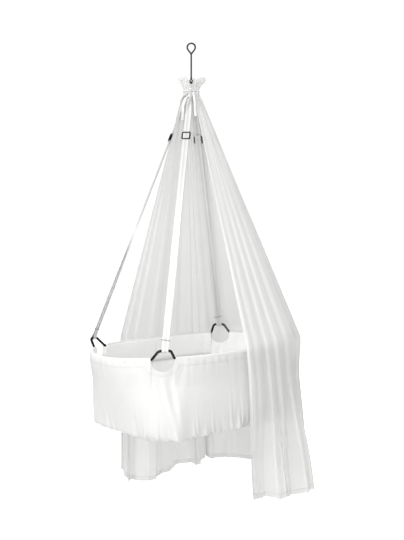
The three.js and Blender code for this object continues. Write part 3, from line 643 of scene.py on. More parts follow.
def cloth_shader(tree, colour, threads, weave_depth, crease_size, crease_depth, amount, sheen=0.25):
    """Principled cloth with its weave and creases. Returns its shader, its normal and its hem mask."""
    weave = weave_group(tree, Threads=threads)
    crease = crease_group(tree, Size=crease_size)
    tone = tone_group(tree, Colour=rgba(colour), Mask=crease["Tone"], Amount=amount)
    threaded = tone_group(tree, Colour=tone["Colour"], Mask=weave["Thread"], Amount=amount * 0.8)
    stitch = stitch_group(tree, Length=0.0034)
    # Painted shade in the puckered groove beside each stitch row
    sewn = tone_group(tree, Colour=threaded["Colour"], Mask=stitch["Groove shade"], Amount=-0.09)
    broad = node(tree, "Bump", Strength=0.9, Distance=crease_depth, Height=crease["Height"])
    seam = node(tree, "Bump", Strength=0.9, Distance=0.0007, Height=stitch["Height"], Normal=broad.outputs[0])
    fine = node(tree, "Bump", Strength=0.8, Distance=weave_depth, Height=weave["Height"],
                Normal=seam.outputs[0])
    cloth = node(tree, "BsdfPrincipled", Base_Color=sewn["Colour"], Roughness=0.9, Sheen_Weight=sheen,
                 Sheen_Roughness=0.45, Specular_IOR_Level=0.2, Normal=fine.outputs[0])
    return cloth.outputs[0], fine.outputs[0], stitch["Folded"]


def output_to(tree, socket):
    tree.links.new(socket, node(tree, "OutputMaterial").inputs[0])


def soft_shader(tree, cloth, colour, normal, glow):
    """Cloth that passes a share of the light on softly."""
    through = node(tree, "BsdfTranslucent", Color=rgba(colour), Normal=normal)
    return node(tree, "MixShader", i0=glow, i1=cloth, i2=through.outputs[0]).outputs[0]


def cotton_material(name, colour, threads=2300.0, weave_depth=0.00012, crease_size=16.0, crease_depth=0.0011,
                    amount=0.05, glow=0.42):
    material, tree = new_material(name)
    cloth, normal, _ = cloth_shader(tree, colour, threads, weave_depth, crease_size, crease_depth, amount)
    output_to(tree, soft_shader(tree, cloth, colour, normal, glow))
    return material


def veil_material(name, look):
    material, tree = new_material(name)
    cloth, normal, folded = cloth_shader(tree, look.colour, 2600.0, 0.00008, 9.0, 0.0014, 0.05, sheen=0.35)
    body = soft_shader(tree, cloth, look.colour, normal, look.glow)
    clear = node(tree, "BsdfTransparent")
    # The single cloth is more open than the folded hem
    single, doubled = 0.8 * look.clear, 0.15 * look.clear
    open_share = node(tree, "MapRange", i0=folded, i1=0.0, i2=1.0, i3=single, i4=doubled).outputs[0]
    output_to(tree, node(tree, "MixShader", i0=open_share, i1=body, i2=clear.outputs[0]).outputs[0])
    return material


def webbing_material(name, look):
    """Ribbed webbing: strong weft ribs across the band, with painted shade in the ribs' valleys, along the selvedges
    and in the stitch grooves.
    """
    material, tree = new_material(name)
    where = node(tree, "UVMap", uv_map="weave").outputs[0]
    parts = node(tree, "SeparateXYZ", Vector=where)
    rib = math_of(tree, "SINE", math_of(tree, "MULTIPLY", parts.outputs[1], TAU / 0.0022))
    cord = math_of(tree, "SINE", math_of(tree, "MULTIPLY", parts.outputs[0], TAU / 0.0016))
    height = math_of(tree, "ADD", rib, math_of(tree, "MULTIPLY", math_of(tree, "MULTIPLY", rib, cord), 0.6))
    # Painted shade: the ribs' valleys are darker and their tops lighter in colour, following their height
    mask = math_of(tree, "MULTIPLY_ADD", height, 0.25, 0.5)
    crease = crease_group(tree, Size=30.0)
    tone = tone_group(tree, Colour=rgba(look.colour), Mask=mask, Amount=0.1)
    # Painted shade: the colour darkens towards each selvedge
    inward = math_of(tree, "PINGPONG", parts.outputs[0], look.width / 2)
    middle = node(tree, "MapRange", i0=inward, i1=0.0006, i2=0.003, i3=0.0, i4=0.5).outputs[0]
    edge_shaded = tone_group(tree, Colour=tone["Colour"], Mask=middle, Amount=0.6)
    aged = tone_group(tree, Colour=edge_shaded["Colour"], Mask=crease["Tone"], Amount=0.05)
    stitch = stitch_group(tree, Length=0.0036)
    # Painted shade in the puckered groove beside each stitch row
    sewn = tone_group(tree, Colour=aged["Colour"], Mask=stitch["Groove shade"], Amount=-0.22)
    seam = node(tree, "Bump", Strength=0.9, Distance=0.0006, Height=stitch["Height"])
    bump = node(tree, "Bump", Strength=0.8, Distance=0.0003, Height=height, Normal=seam.outputs[0])
    cloth = node(tree, "BsdfPrincipled", Base_Color=sewn["Colour"], Roughness=0.8, Sheen_Weight=0.2,
                 Sheen_Roughness=0.4, Normal=bump.outputs[0])
    output_to(tree, soft_shader(tree, cloth.outputs[0], look.colour, bump.outputs[0], look.glow))
    return material


def metal_material(name, colour, base, spread, coat=0.0, rim=0.35, metallic=1.0):
    """Polished bar or plate: base and spread set its roughness, rim its brightness at a glance."""
    material, tree = new_material(name)
    polish = polish_group(tree, Base=base, Spread=spread)
    tone = tone_group(tree, Colour=rgba(colour), Mask=polish["Mask"], Amount=0.3)
    bump = node(tree, "Bump", Strength=0.25, Distance=0.00005, Height=polish["Height"])
    steel = node(tree, "BsdfPrincipled", Base_Color=tone["Colour"], Metallic=metallic, Roughness=polish["Roughness"],
                 Specular_IOR_Level=0.1, Specular_Tint=(rim, rim, rim, 1), Coat_Weight=coat, Coat_Roughness=0.05,
                 Normal=bump.outputs[0])
    output_to(tree, steel.outputs[0])
    return material


def wood_material(name, colour):
    """Sanded plywood with a gentle grain along the board."""
    material, tree = new_material(name)
    where = node(tree, "TexCoord").outputs["Object"]
    stretched = node(tree, "Mapping", Vector=where, Scale=(2.2, 26.0, 26.0)).outputs[0]
    grain = node(tree, "TexNoise", Vector=stretched, Scale=5.0, Detail=6.0, Distortion=1.4).outputs["Fac"]
    fibre = node(tree, "TexNoise", Vector=stretched, Scale=40.0, Detail=3.0).outputs["Fac"]
    tone = tone_group(tree, Colour=rgba(colour), Mask=grain, Amount=0.7)
    fine = tone_group(tree, Colour=tone["Colour"], Mask=fibre, Amount=0.25)
    bump = node(tree, "Bump", Strength=0.4, Distance=0.0002, Height=fibre)
    rough = math_of(tree, "MULTIPLY_ADD", grain, 0.25, 0.45)
    board = node(tree, "BsdfPrincipled", Base_Color=fine["Colour"], Roughness=rough, Normal=bump.outputs[0])
    output_to(tree, board.outputs[0])
    return material


def material_once(make, name, *looks, **values):
    return bpy.data.materials.get(name) or make(name, *looks, **values)


# Basket


class BasketWall:
    """The tub's cloth wall, with its folds, as a function of angle and height."""

    # The bottom's squareness, the depth under the rail at which the folds start, and the width of a side seam
    POWER, FOLD_TOP, SEAM = 5, 0.0185, 0.0032
    # A tuck's width and height, and where the dents beside it lie and how wide they are
    TUCK_WIDTH, TUCK_HEIGHT = 0.017, 0.06
    DENTS = ((0.04, 0.018, 1), (-0.038, 0.016, 0.8))
    # Each fold: where it leaves the scoop, its height, its width and how far it bows
    FOLDS = ((0.50, 1.00, 0.015, 0.000), (0.74, -0.90, 0.015, 0.000), (0.98, 0.80, 0.017, -0.004),
             (0.27, -0.85, 0.017, 0.004), (0.03, 0.65, 0.022, 0.012), (-0.30, -0.45, 0.028, 0.030),
             (1.28, -0.50, 0.022, -0.020), (1.65, 0.40, 0.028, -0.034), (-0.75, 0.35, 0.034, 0.055))

    def __init__(self, rim, look):
        self.rim, self.look = rim, look
        self.bottom = oval(look.half_length, look.half_width, self.POWER)
        self.floor = -rim.size.rim_drop - look.depth
        self.columns = self.make_columns()
        r = rim.radius(self.columns)
        x, y = r * np.cos(self.columns), r * np.sin(self.columns)
        step = np.hypot(np.diff(x, append=x[0]), np.diff(y, append=y[0]))
        self.run = np.concatenate([[0], np.cumsum(step)])
        self.corners = []
        for sx, sy in CORNERS.values():
            turns = (rim.short_angle, rim.long_angle, look.tuck_angle, rim.middle_angle)
            short, long, tuck, middle = (self.run_at(math.atan2(sy * math.sin(a), sx * math.cos(a))) for a in turns)
            self.corners.append((middle, self.shortest(long - short), self.shortest(tuck - middle)))

    def make_columns(self):
        s, l, pi = self.rim.short_angle, self.rim.long_angle, math.pi
        spans = [(-s, s, 120), (s, l, 56), (l, pi - l, 150), (pi - l, pi - s, 56), (pi - s, pi + s, 120),
                 (pi + s, pi + l, 56), (pi + l, TAU - l, 150), (TAU - l, TAU - s, 56)]
        return np.concatenate([even_angles(self.rim.radius, a, b, n)[:-1] for a, b, n in spans])

    def run_at(self, angle):
        low = self.columns[0]
        angle = (angle - low) % TAU + low
        return float(np.interp(angle, np.append(self.columns, self.columns[0] + TAU), self.run))

    def scoop_share(self, angle):
        return (quarter(angle) - self.rim.short_angle) / (self.rim.long_angle - self.rim.short_angle)

    def radius(self, angle, z):
        h = (z - self.floor) / self.look.depth
        swell = self.look.bulge * np.sin(math.pi * np.clip(h, 0, 1))
        return lerp(self.bottom(angle), self.rim.radius(angle), smooth(h)) + swell

    def shortest(self, reach):
        """A distance along the rim, taken the short way round."""
        total = self.run[-1]
        return (reach + total / 2) % total - total / 2

    def away(self, place):
        """Distance of every column from a place on the rim."""
        return self.shortest(self.run[:-1] - place)

    def seams(self):
        """The angles of the tub's two end seams."""
        return [self.look.seam_angle, math.pi + self.look.seam_angle]

    def fold_top(self):
        """The height that the folds run down from, lower under each scoop."""
        top = self.rim.sag(self.columns) - self.rim.size.rim_drop - self.FOLD_TOP
        for middle, width, _ in self.corners:
            top = top - self.look.scoop * bump_at(self.away(middle), abs(width) * 0.62)
        return top

    def gathers(self, up, below):
        """Small gathers under the rim and sharper ones along the lower edge."""
        look, grain = self.look, self.run[:-1] / self.run[-1]
        gather = waver(grain * 62 + up, 11, 5, 0.6, 1.6) * (0.6 + 0.5 * waver(grain * 7, 15, 4, 1, 3))
        pinch = waver(grain * 46 + 0.4 * waver(grain * 9, 21) + 3.0 * up, 13, 5, 0.6, 1.5)
        pinch = np.abs(pinch) ** 1.3 * np.sign(pinch) * (0.8 + 0.5 * waver(grain * 4, 27, 4, 1, 3))
        reach = 0.024 + 0.03 * (0.5 + 0.5 * waver(grain * 11, 25, 4, 1, 2))
        return look.rim_gather * gather * np.exp(-below / 0.02) + look.edge_gather * pinch * np.exp(-up / reach)

    def corner_folds(self, corner, part, up):
        """The folds that run from a scoop to the corner below it, and the tuck there."""
        look, (middle, width, reach) = self.look, corner
        slide = 0.35 * part + 0.65 * smooth(part)
        strength = (0.1 + 0.9 * smooth(part / 0.6)) * smooth(part / 0.12)
        strength = strength * (1 - 0.4 * smooth((part - 0.8) / 0.2))
        move = 0.0
        for start, height, spread, bend in self.FOLDS:
            line = lerp((start - 0.5) * width, reach + 0.28 * (start - 0.5) * width, slide)
            line = line + bend * math.copysign(1, width) * np.sin(math.pi * part)
            swell = spread * (0.5 + 0.55 * np.sin(math.pi * part) ** 0.7)
            move = move + look.tension * height * strength * bump_at(self.away(middle + line), swell)
        away = self.away(middle + reach)
        move = move + look.tuck * bump_at(away, self.TUCK_WIDTH) * np.exp(-up / self.TUCK_HEIGHT)
        dents = sum(share * bump_at(away - place, spread) for place, spread, share in self.DENTS)
        return move - look.tuck * dents * np.exp(-up / 0.05) / 2

    def folds(self, z):
        """Outward moves of the wall at heights z."""
        look, top = self.look, self.fold_top()
        up, below = z - self.floor, np.maximum(top - z, 0)
        grain = self.run[:-1] / self.run[-1]
        move = look.slack * waver(grain * 3 + up * 0.9, 3, 5, 1, 3)
        for angle in self.seams():
            move = move + look.seam_rise * bump_at(self.away(self.run_at(angle)), self.SEAM)
        part = np.clip(below / (top - self.floor), 0, 1)
        return move + self.gathers(up, below) + sum(self.corner_folds(c, part, up) for c in self.corners)

    def tuck_drop(self):
        """How far the lower edge comes down at the corner tucks."""
        drop = sum(bump_at(self.away(middle + reach), 0.022) for middle, _, reach in self.corners)
        return drop * self.look.tuck * 0.7


# Rows of the facing inside the rim: how far in, as a share of the hem's radius, and how far down it
FACING_ROWS = ((0.4, 1.0), (0.48, 0.82), (0.57, 0.64), (0.66, 0.46), (0.76, 0.29), (0.88, 0.13))
# Bands of the tub's cloth, from its first row, that face inwards and take the inside's lighter colour, which is
# painted light
INNER_BANDS = 8
# Where the roll of the hem starts and stops, in degrees, and how many rows the roll, wall and under hem have
HEM_TURN, HEM_ROWS, WALL_ROWS, UNDER_ROWS = (188, -4), 15, 54, 10
EDGE_TURNS = (20, 42, 64, 84)


def basket_points(wall):
    """The tub's cloth from its facing over the rail's hem, down the wall and in under the bottom."""
    look, rim, angle = wall.look, wall.rim, wall.columns
    q = wall.scoop_share(angle)
    inside = (q > 1e-6) & (q < 1 - 1e-6)
    bowl = np.where(inside, np.sqrt(np.sin(np.clip(q, 0, 1) * math.pi)), 0)
    weight = smooth(np.minimum(q, 1 - q) / 0.07)
    tube = lerp(look.tunnel, look.hem, weight)
    rail_z = rim.sag(angle) - rim.size.rim_drop
    centre_z = rail_z - weight * look.tunnel - look.scoop * bowl
    centre_r = np.where(inside, wall.radius(angle, centre_z), rim.radius(angle))
    grain = wall.run[:-1] / wall.run[-1]
    crimp = 1 + 0.05 * (1 - weight) * waver(grain * 80, 17, 5, 0.6, 1.5)
    rows = []
    for inset, depth in FACING_ROWS:
        z = centre_z - depth * look.facing
        inward = np.maximum(tube * inset, 0.0028)
        rows.append(rim.place(wall.radius(angle, z) + wall.folds(z) * smooth(depth * 3) - inward, angle, z))
    for turn in np.radians(np.linspace(*HEM_TURN, HEM_ROWS)):
        r = centre_r + tube * crimp * math.cos(turn)
        rows.append(rim.place(r, angle, centre_z + tube * crimp * math.sin(turn)))
    start, level = centre_z - 0.006 * tube / look.tunnel, np.max(centre_z) - 0.006
    edge_top = wall.floor + look.edge
    for part in np.linspace(0, 1, WALL_ROWS):
        z = lerp(level, edge_top, part) - (level - start) * (1 - part) ** 3.5
        move = wall.folds(z) + tube * crimp * np.exp(-(((centre_z - z) / (0.014 + 6 * tube)) ** 2))
        drop = wall.tuck_drop() * smooth((part - 0.7) / 0.3)
        rows.append(rim.place(wall.radius(angle, z) + move, angle, z - drop))
    move = wall.folds(wall.floor + 0.004 + 0 * angle)
    pleat = waver(grain * 60 + 0.8 * waver(grain * 13, 29), 23, 5, 0.5, 1.5)
    base = wall.bottom(angle)
    for turn in np.radians(EDGE_TURNS):
        r = base - look.edge * (1 - math.cos(turn)) + move * math.cos(turn)
        z = wall.floor + look.edge * (1 - math.sin(turn)) - wall.tuck_drop() * math.cos(turn / 1.2)
        z = z + 0.0016 * pleat * math.sin(turn)
        rows.append(rim.place(r, angle, z))
    for part in np.linspace(0.08, 1, UNDER_ROWS):
        r = base - look.edge - (look.under - look.edge) * part
        z = wall.floor + 0.0004 - 0.0022 * (0.4 + 0.5 * pleat) * (1 - 0.3 * part)
        rows.append(rim.place(r, angle, z))
    return np.array(rows), basket_seams(wall, np.array(rows), centre_z, weight)


# How many columns to each side are searched for the nearest point of the rim
SEAM_SEARCH = 40


def basket_seams(wall, points, centre_z, weight):
    """Distances to the tub's stitch rows: under the rail's hem, round each scoop, and the side seams."""
    look, run = wall.look, wall.run[:-1]
    away = np.full(points.shape[:2], 1.0)
    for shift in range(-SEAM_SEARCH, SEAM_SEARCH + 1):
        reach = wall.shortest(np.roll(run, -shift) - run)
        away = np.minimum(away, np.hypot(reach, points[:, :, 2] - np.roll(centre_z, -shift)))
    row = away - lerp(look.tunnel * 2.4, look.band, weight)
    beyond = np.where(np.arange(len(points))[:, None] < INNER_BANDS, 1.0, 0.0)
    sides = [wall.away(wall.run_at(a)) + 0.003 for a in wall.seams()]
    return nearest(row + beyond, *(side + 0 * row for side in sides))


def disc_points(rim, radius, z, rings, angles):
    """Rings of an oval disc from its rim to its middle."""
    return np.array([rim.place(radius(angles) * part, angles, z + 0 * angles) for part in rings])


# The flat cloth's length over the rim's, the base cloth's thickness and how far it lies above the tub's lowest level
GATHERED, BASE_CLOTH, BASE_RISE = 1.04, 0.0006, 0.0026


def make_basket(scene):
    rim, look = RimPlan(scene.cradle_frame), scene.cradle_basket
    wall = BasketWall(rim, look)
    points, seams = basket_points(wall)
    cotton = material_once(cotton_material, "tub_cotton", look.colour)
    # The inner shell and the facing get a lighter copy of the tub's cotton: painted light on the inside walls
    inside_painted_light = material_once(cotton_material, "tub_inside_painted_light", look.inside_painted_light, weave_depth=0.00009, glow=0.12)
    basket = cloth_piece("basket_cloth", points, measured_uv(points, True), wrap=True, values={"stitch": seams})
    thicken(basket, look.cloth, -1).modifiers["cloth"].material_offset = 1
    dress(basket, cotton, "cradle", "tub_cloth", "basket_tub", *(f"rim_casing_{s}" for s in SIDES))
    basket.data.materials.append(inside_painted_light)
    inner = np.arange(len(basket.data.polygons)) < INNER_BANDS * points.shape[1]
    basket.data.polygons.foreach_set("material_index", inner.astype(np.int32))
    angles = even_angles(wall.bottom, 0, TAU, 180)[:-1]
    base = oval(look.half_length - look.edge, look.half_width - look.edge, wall.POWER)
    disc = disc_points(rim, base, wall.floor + BASE_RISE, np.linspace(1, 0.03, 26), angles)
    grain = np.arange(len(angles)) / len(angles)
    for i in range(len(disc)):
        disc[i, :, 2] += 0.0004 * waver(grain * 5, 31 + i % 3, 4, 1, 3)
    panel = cloth_piece("base_cloth", disc, measured_uv(disc, True), wrap=True)
    thicken(panel, BASE_CLOTH, 0)
    dress(panel, cotton, "cradle", "tub_cloth")


# Straps


# The buckles' height, from the eye, and how far the strap's inner end stands out above its buckle
BUCKLE_LEVEL, STRAP_END = -0.37, 0.024


def strap_path(run, ring):
    """A strap's middle line, down its outside, round the hanger's bar and up to its buckle, and its width's way."""
    half = run.pitch / 2

    def spread(s):
        return lerp(ring, half, smooth(s / run.CONVERGE))

    buckle = (BUCKLE_LEVEL - run.apex[2]) / run.up[2]
    down = [(s, half) for s in np.linspace(run.length, run.CONVERGE, 170)]
    down += [(s, spread(s)) for s in np.linspace(run.CONVERGE, 0, 9)[1:-1]]
    up = [(s, -spread(s)) for s in np.linspace(0, run.CONVERGE, 9)[1:-1]]
    up += [(s, -half) for s in np.linspace(run.CONVERGE, buckle + STRAP_END, 150)]
    side = run.across(0)
    out = run.outside(side)
    rise = unit(run.up - side * (run.up @ side))
    bend = [run.apex + out * ring * math.cos(turn) - rise * ring * math.sin(turn)
            for turn in np.linspace(0, math.pi, 17)]
    path = [run.at(*leg) for leg in down] + bend + [run.at(*leg) for leg in up]
    return path, [run.across(s) for s, _ in down] + [side] * len(bend) + [run.across(s) for s, _ in up]


def make_straps(scene):
    rim, look = RimPlan(scene.cradle_frame), scene.cradle_straps
    webbing = material_once(webbing_material, "strap_webbing", look)
    size = scene.cradle_frame
    ring = size.hanger_bar + size.seat + look.thickness / 2
    for corner in CORNERS:
        path, across = strap_path(StrapRun(corner, rim, look), ring)
        loops = ribbon_loops(path, across, look.width, look.thickness)
        sideways = np.abs(np.einsum("ijk,ik->ij", loops - np.array(path)[:, None], unit(np.array(across))))
        strap = skin(f"webbing_{corner}", loops, uv_across=np.linspace(0, 2 * look.width, loops.shape[1] + 1),
                     values={"stitch": nearest(sideways - look.seam)})
        dress(strap, webbing, "cradle", "webbing", f"strap_{corner}")
    run = StrapRun("head_far", rim, look)
    side = [[-(run.crown * math.cos(run.slope) + s * math.sin(run.slope)), 0,
             -size.link_bar + run.crown * math.sin(run.slope) - s * math.cos(run.slope)]
            for s in np.linspace(0.027, 0.001, 12)]
    top = [[run.crown * math.cos(turn), 0, -size.link_bar + run.crown * math.sin(turn)]
           for turn in np.linspace(math.pi - run.slope, run.slope, 15)]
    path = side + top + [[-x, 0, z] for x, _, z in reversed(side)]
    loops = ribbon_loops(path, [[0, 1, 0]] * len(path), look.width, look.thickness)
    crown = skin("webbing_crown", loops, uv_across=np.linspace(0, 2 * look.width, loops.shape[1] + 1))
    dress(crown, webbing, "cradle", "webbing", "strap_crown")


# Veil


# The oval that the veil hangs in, and the grid's columns from its near front edge to its far one
VEIL_POWER, VEIL_COLUMNS = 2.9, 840
# Degrees round from the near front edge to the far one: round the ruffle, below the neck, at the rim and at the hem
RUFFLE_SPAN, NECK_SPAN, RIM_SPAN, HEM_SPAN = (-127, 223), (-111, 142), (-86, 124), (-82, 116)
# Rows of the ruffle, the neck, the slope down to the rim and the fall from there to the hem
RUFFLE_ROWS, NECK_ROWS, SLOPE_ROWS, FALL_ROWS = 26, 14, 84, 66
# The gathered neck: its pleats, its wider lobes, the two ways that the ruffle's tips point, and its waves' heights
PLEATS, LOBES, TIPS, TIP_WIDTH = 36, 4.6, (138, -42), 28
TIED, OPENED = 0.0014, 0.003
# Cloth outside the tie's radius, and outside the neck's where the drops start
OVER_TIE, OVER_NECK = 0.0032, 0.0035
# Each panel of the veil from the near front edge round to the far one: width, how far out and how far its hem dips
VEIL_PANELS = ((3.9, -0.35, -1.5), (7.2, -0.5, -1.2), (5.8, 0.15, -0.2), (6.5, 0.0, 0.0), (9.0, 0.85, 0.1),
               (8.0, 0.3, 0.0), (12.0, 0.55, 0.3), (8.0, 0.35, 0.0), (13.0, 0.6, 0.4), (8.0, 0.35, 0.0),
               (12.0, 0.6, 0.2), (9.5, 0.55, 0.0), (2.8, 1.1, -0.6), (4.4, -0.35, 0.5), (10.5, 0.4, 0.1),
               (11.5, 0.0, 1.1), (9.0, -0.45, 1.4), (4.8, 0.5, 1.2), (5.5, 0.1, 1.5))


class VeilFolds:
    """The veil's panels across q from 0 to 1, each with its own width, place and dip, and a step between them."""

    # A step's width, in the panels' own measure, and the share of the hem that curls up at the far corner
    STEP, CORNER = 1.3, 0.036

    def __init__(self, q):
        self.width, self.place, drop = np.array(VEIL_PANELS).T
        edges = np.concatenate([[0], np.cumsum(self.width)]) / self.width.sum()
        self.spot = np.interp(q, edges, np.arange(len(edges)))
        self.dip = self.stepped(drop, 0.0)
        self.corner = smooth((q - 1 + self.CORNER) / self.CORNER)

    def stepped(self, rows, slope):
        """Flat panels with a slope of their own, joined by smooth steps."""
        panel = np.minimum(self.spot.astype(int), len(rows) - 1)
        part = self.spot - panel
        step = np.minimum(self.STEP / self.width[panel], 0.49)
        tilt = slope * np.where(panel % 2 == 0, 1, -1) * (part - 0.5)
        before, after = rows[np.maximum(panel - 1, 0)], rows[np.minimum(panel + 1, len(rows) - 1)]
        low = (rows[panel] - before) * (1 - smooth(0.5 + part / step / 2))
        high = (after - rows[panel]) * (1 - smooth(0.5 + (1 - part) / step / 2))
        ease = smooth(np.minimum(part, 1 - part) / step)
        return rows[panel] - low + high + tilt * ease

    def out(self, depth, sharp=0.0):
        soft = (0.5 - 0.5 * np.cos(TAU * self.spot)) ** 0.9
        return depth * lerp(0.7 * soft, self.stepped(self.place, 0.3), sharp)

    def lean(self, depth, sharp=0.0):
        return depth * np.sin(2 * TAU * self.spot + 0.5) * (0.9 - 0.6 * sharp)


def ring_at(radius, angle, z):
    """Points round the eye's vertical line."""
    return np.stack([radius * np.cos(angle), radius * np.sin(angle), z + 0 * angle], -1)


def neck_rows(look, q):
    """The ruffle above the tie and the gathered neck under it."""
    full_angle, open_angle = np.radians(lerp(*RUFFLE_SPAN, q)), np.radians(lerp(*NECK_SPAN, q))
    pleats = TAU * (PLEATS * q + 0.9 * waver(q * 6, 47, 4, 0.8, 2.2))
    swell = 0.8 + 0.35 * waver(q * 9, 53, 4, 0.8, 2.0)
    lobes = 0.5 + 0.5 * np.cos(TAU * (LOBES * q + 0.22 * waver(q * 2, 59, 3, 0.8, 2)))
    tips = sum(np.exp(-((np.degrees(full_angle) - way) / TIP_WIDTH) ** 2) for way in TIPS)
    rows = []
    for part in np.linspace(0, 1, RUFFLE_ROWS):
        flare = (1 - smooth(part)) ** 1.2
        radius = look.tie_radius + OVER_TIE + (0.011 + 0.014 * tips) * flare
        fine = 0.0015 * np.cos(pleats) * (1 - flare) ** 2 + 0.0008 * np.cos(0.4 * pleats + 1) * flare
        wave = lerp(TIED, 0.015, flare) * swell * (lobes - 0.45) + fine
        lift = (0.011 * (lobes - 0.6) + 0.004 * waver(q * 4, 61, 4, 0.8, 2.2)) * (1 - part)
        rows.append(ring_at(radius + wave, full_angle + 0.16 * flare * np.sin(TAU * LOBES * q + 1),
                            lerp(-look.top_drop, -look.tie_drop, part) + lift))
    for part in np.linspace(0, 1, NECK_ROWS)[1:]:
        angle = lerp(full_angle, open_angle, smooth(part))
        radius = lerp(look.tie_radius + OVER_TIE, look.skirt_radius + OVER_NECK, part ** 1.3)
        wave = lerp(TIED, OPENED, part) * swell * np.cos(pleats)
        rows.append(ring_at(radius + wave, angle, lerp(-look.tie_drop, -look.skirt_drop, part)))
    return rows, OPENED * swell * np.cos(pleats)


def veil_points(look, rim):
    """The veil from the ruffle above its tie down to its hem, as rows of points."""
    q, table = np.linspace(0, 1, VEIL_COLUMNS), np.linspace(0, 1, 401)
    rim_oval = oval(look.rim_half_length, look.rim_half_width, VEIL_POWER)
    hem_oval = oval(look.hem_half_length, look.hem_half_width, VEIL_POWER)
    rim_angle, hem_angle = (np.interp(q, table, even_angles(shape, *np.radians(span), 400))
                            for shape, span in ((rim_oval, RIM_SPAN), (hem_oval, HEM_SPAN)))
    open_angle = np.radians(lerp(*NECK_SPAN, q))
    folds = VeilFolds(q)
    shoulder = look.shoulder - rim.size.rim_drop
    rows, pleats = neck_rows(look, q)
    start = ring_at(look.skirt_radius + OVER_NECK, open_angle, -look.skirt_drop)
    outward, rim_out, hem_out = (ring_at(1.0, angle, 0) for angle in (open_angle, rim_angle, hem_angle))
    tents = [rim.hanger(corner)[3] for corner in ("head_near", "head_far")]
    tents = [math.atan2(apex[1] + rim.size.forward, apex[0]) for apex in tents]
    tent = look.tent * np.exp(-(np.min([np.abs(rim_angle - t) for t in tents], 0) / 0.2) ** 2)
    edge = rim.place(rim_oval(rim_angle) + tent, rim_angle, shoulder)
    soft = 0.003 * waver(q * 4, 67, 5, 1, 3)

    def moved(base, out, wave, lean):
        side = np.stack([-out[:, 1], out[:, 0], 0 * q], -1)
        return base + out * wave[:, None] + side * lean[:, None]

    for part in np.linspace(0, 1, SLOPE_ROWS)[1:]:
        base = lerp(start, edge, part)
        base[:, 2] = lerp(-look.skirt_drop, shoulder, part)
        out = unit(lerp(outward, rim_out, smooth(part)))
        depth = look.fold_rim * smooth(part / 0.9) * part ** 0.5
        wave = pleats * (1 - smooth(part / 0.5)) + folds.out(depth) + part * soft
        rows.append(moved(base, out, wave, 0.3 * folds.lean(depth)))
    for part in np.append(np.linspace(0, 0.97, FALL_ROWS)[1:], (0.98, 0.99, 0.997, 1)):
        z = lerp(shoulder, -look.hem_drop, part)
        held = rim_oval(rim_angle) + tent * (1 - smooth(part / 0.3))
        base = lerp(rim.place(held, rim_angle, z), rim.place(hem_oval(hem_angle), hem_angle, z), part)
        depth = lerp(look.fold_rim, look.fold_hem, smooth(part))
        sharp = smooth(part / 0.8)
        wave = folds.out(depth, sharp) + soft + 0.006 * part * waver(q * 1.5, 73, 3, 0.6, 1.8)
        wave = wave - 0.32 * (depth - look.fold_rim)
        lean = lerp(0.3, 0.5, smooth(part)) * folds.lean(depth, sharp)
        row = moved(base, unit(lerp(rim_out, hem_out, part)), wave, lean)
        row[:, 2] += -part**4 * look.dip * folds.dip + look.corner_lift * folds.corner * smooth((part - 0.6) / 0.4)
        rows.append(row)
    return np.array(rows)


def make_veil(scene):
    look, rim = scene.cradle_veil, RimPlan(scene.cradle_frame)
    points = veil_points(look, rim)
    muslin = material_once(veil_material, "veil_muslin", look)
    flat = measured_uv(points)
    edges = np.minimum(flat[..., 0], flat[..., 0].max() - flat[..., 0]) - look.side_hem
    hems = nearest(flat[..., 1] - look.hem_band, edges)
    hems = np.where((flat[..., 1] < look.hem_band) | (edges < 0), np.minimum(hems, 2 - hems), hems)
    veil = cloth_piece("veil_cloth", points, flat, values={"stitch": hems})
    thicken(veil, look.cloth, 0)
    dress(veil, muslin, "cradle", "veil_cloth", "veil_neck", *(f"veil_drop_{d}" for d in DROPS))


# The compass angle that the bow faces
BOW_FACING = math.radians(-42)
BOW_RIGHT = np.array([math.cos(BOW_FACING), math.sin(BOW_FACING), 0])
BOW_FRONT = np.array([math.sin(BOW_FACING), -math.cos(BOW_FACING), 0])
BOW_UP = np.array([0.0, 0.0, 1.0])
# The cord's ring and its radius, the distances of knot, loops and tails in front of the rod, and the tails' start
CORD_RING, CORD_RADIUS = 0.0326, 0.0023
KNOT_OUT, LOOP_OUT, TAIL_OUT = 0.0475, 0.049, 0.04595
TAIL_START = (0.00465, 0.0073)
KNOT_SIZE, KNOT_RADIUS = 0.0052, 0.003
LOOP_SIZE, LOOP_TAPE, TAPE_THICKNESS = 0.0085, 0.0085, 0.0012
# Each bow loop: its name, its slope in degrees and its length
BOW_LOOPS = (("right", -12, 0.03), ("left", -122, 0.031))
# Each turn of the knot: how far it's shifted, and its lean
KNOT_TURNS = ((-0.0016, 0.35), (0.0016, -0.35), (0.0, 0.0))
# Each tail: its reach to the side, its fall, and its places across and down as shares of them
TAILS = {
    "left": (-0.035, 0.115, (0.2, 0.34, 0.63, 0.89, 0.94, 1), (0.06, 0.15, 0.23, 0.42, 0.68, 1)),
    "right": (0.018, 0.1, (0.44, 0.61, 0.72, 0.83, 0.89, 1), (0.09, 0.18, 0.29, 0.51, 0.75, 1)),
}
TAIL_BOW, TAIL_BOW_SHARES = 0.008, (0, 0, 0.4, 1.1, 1, 1)


def on_front(across, out, z):
    return BOW_RIGHT * across + BOW_FRONT * out + BOW_UP * z


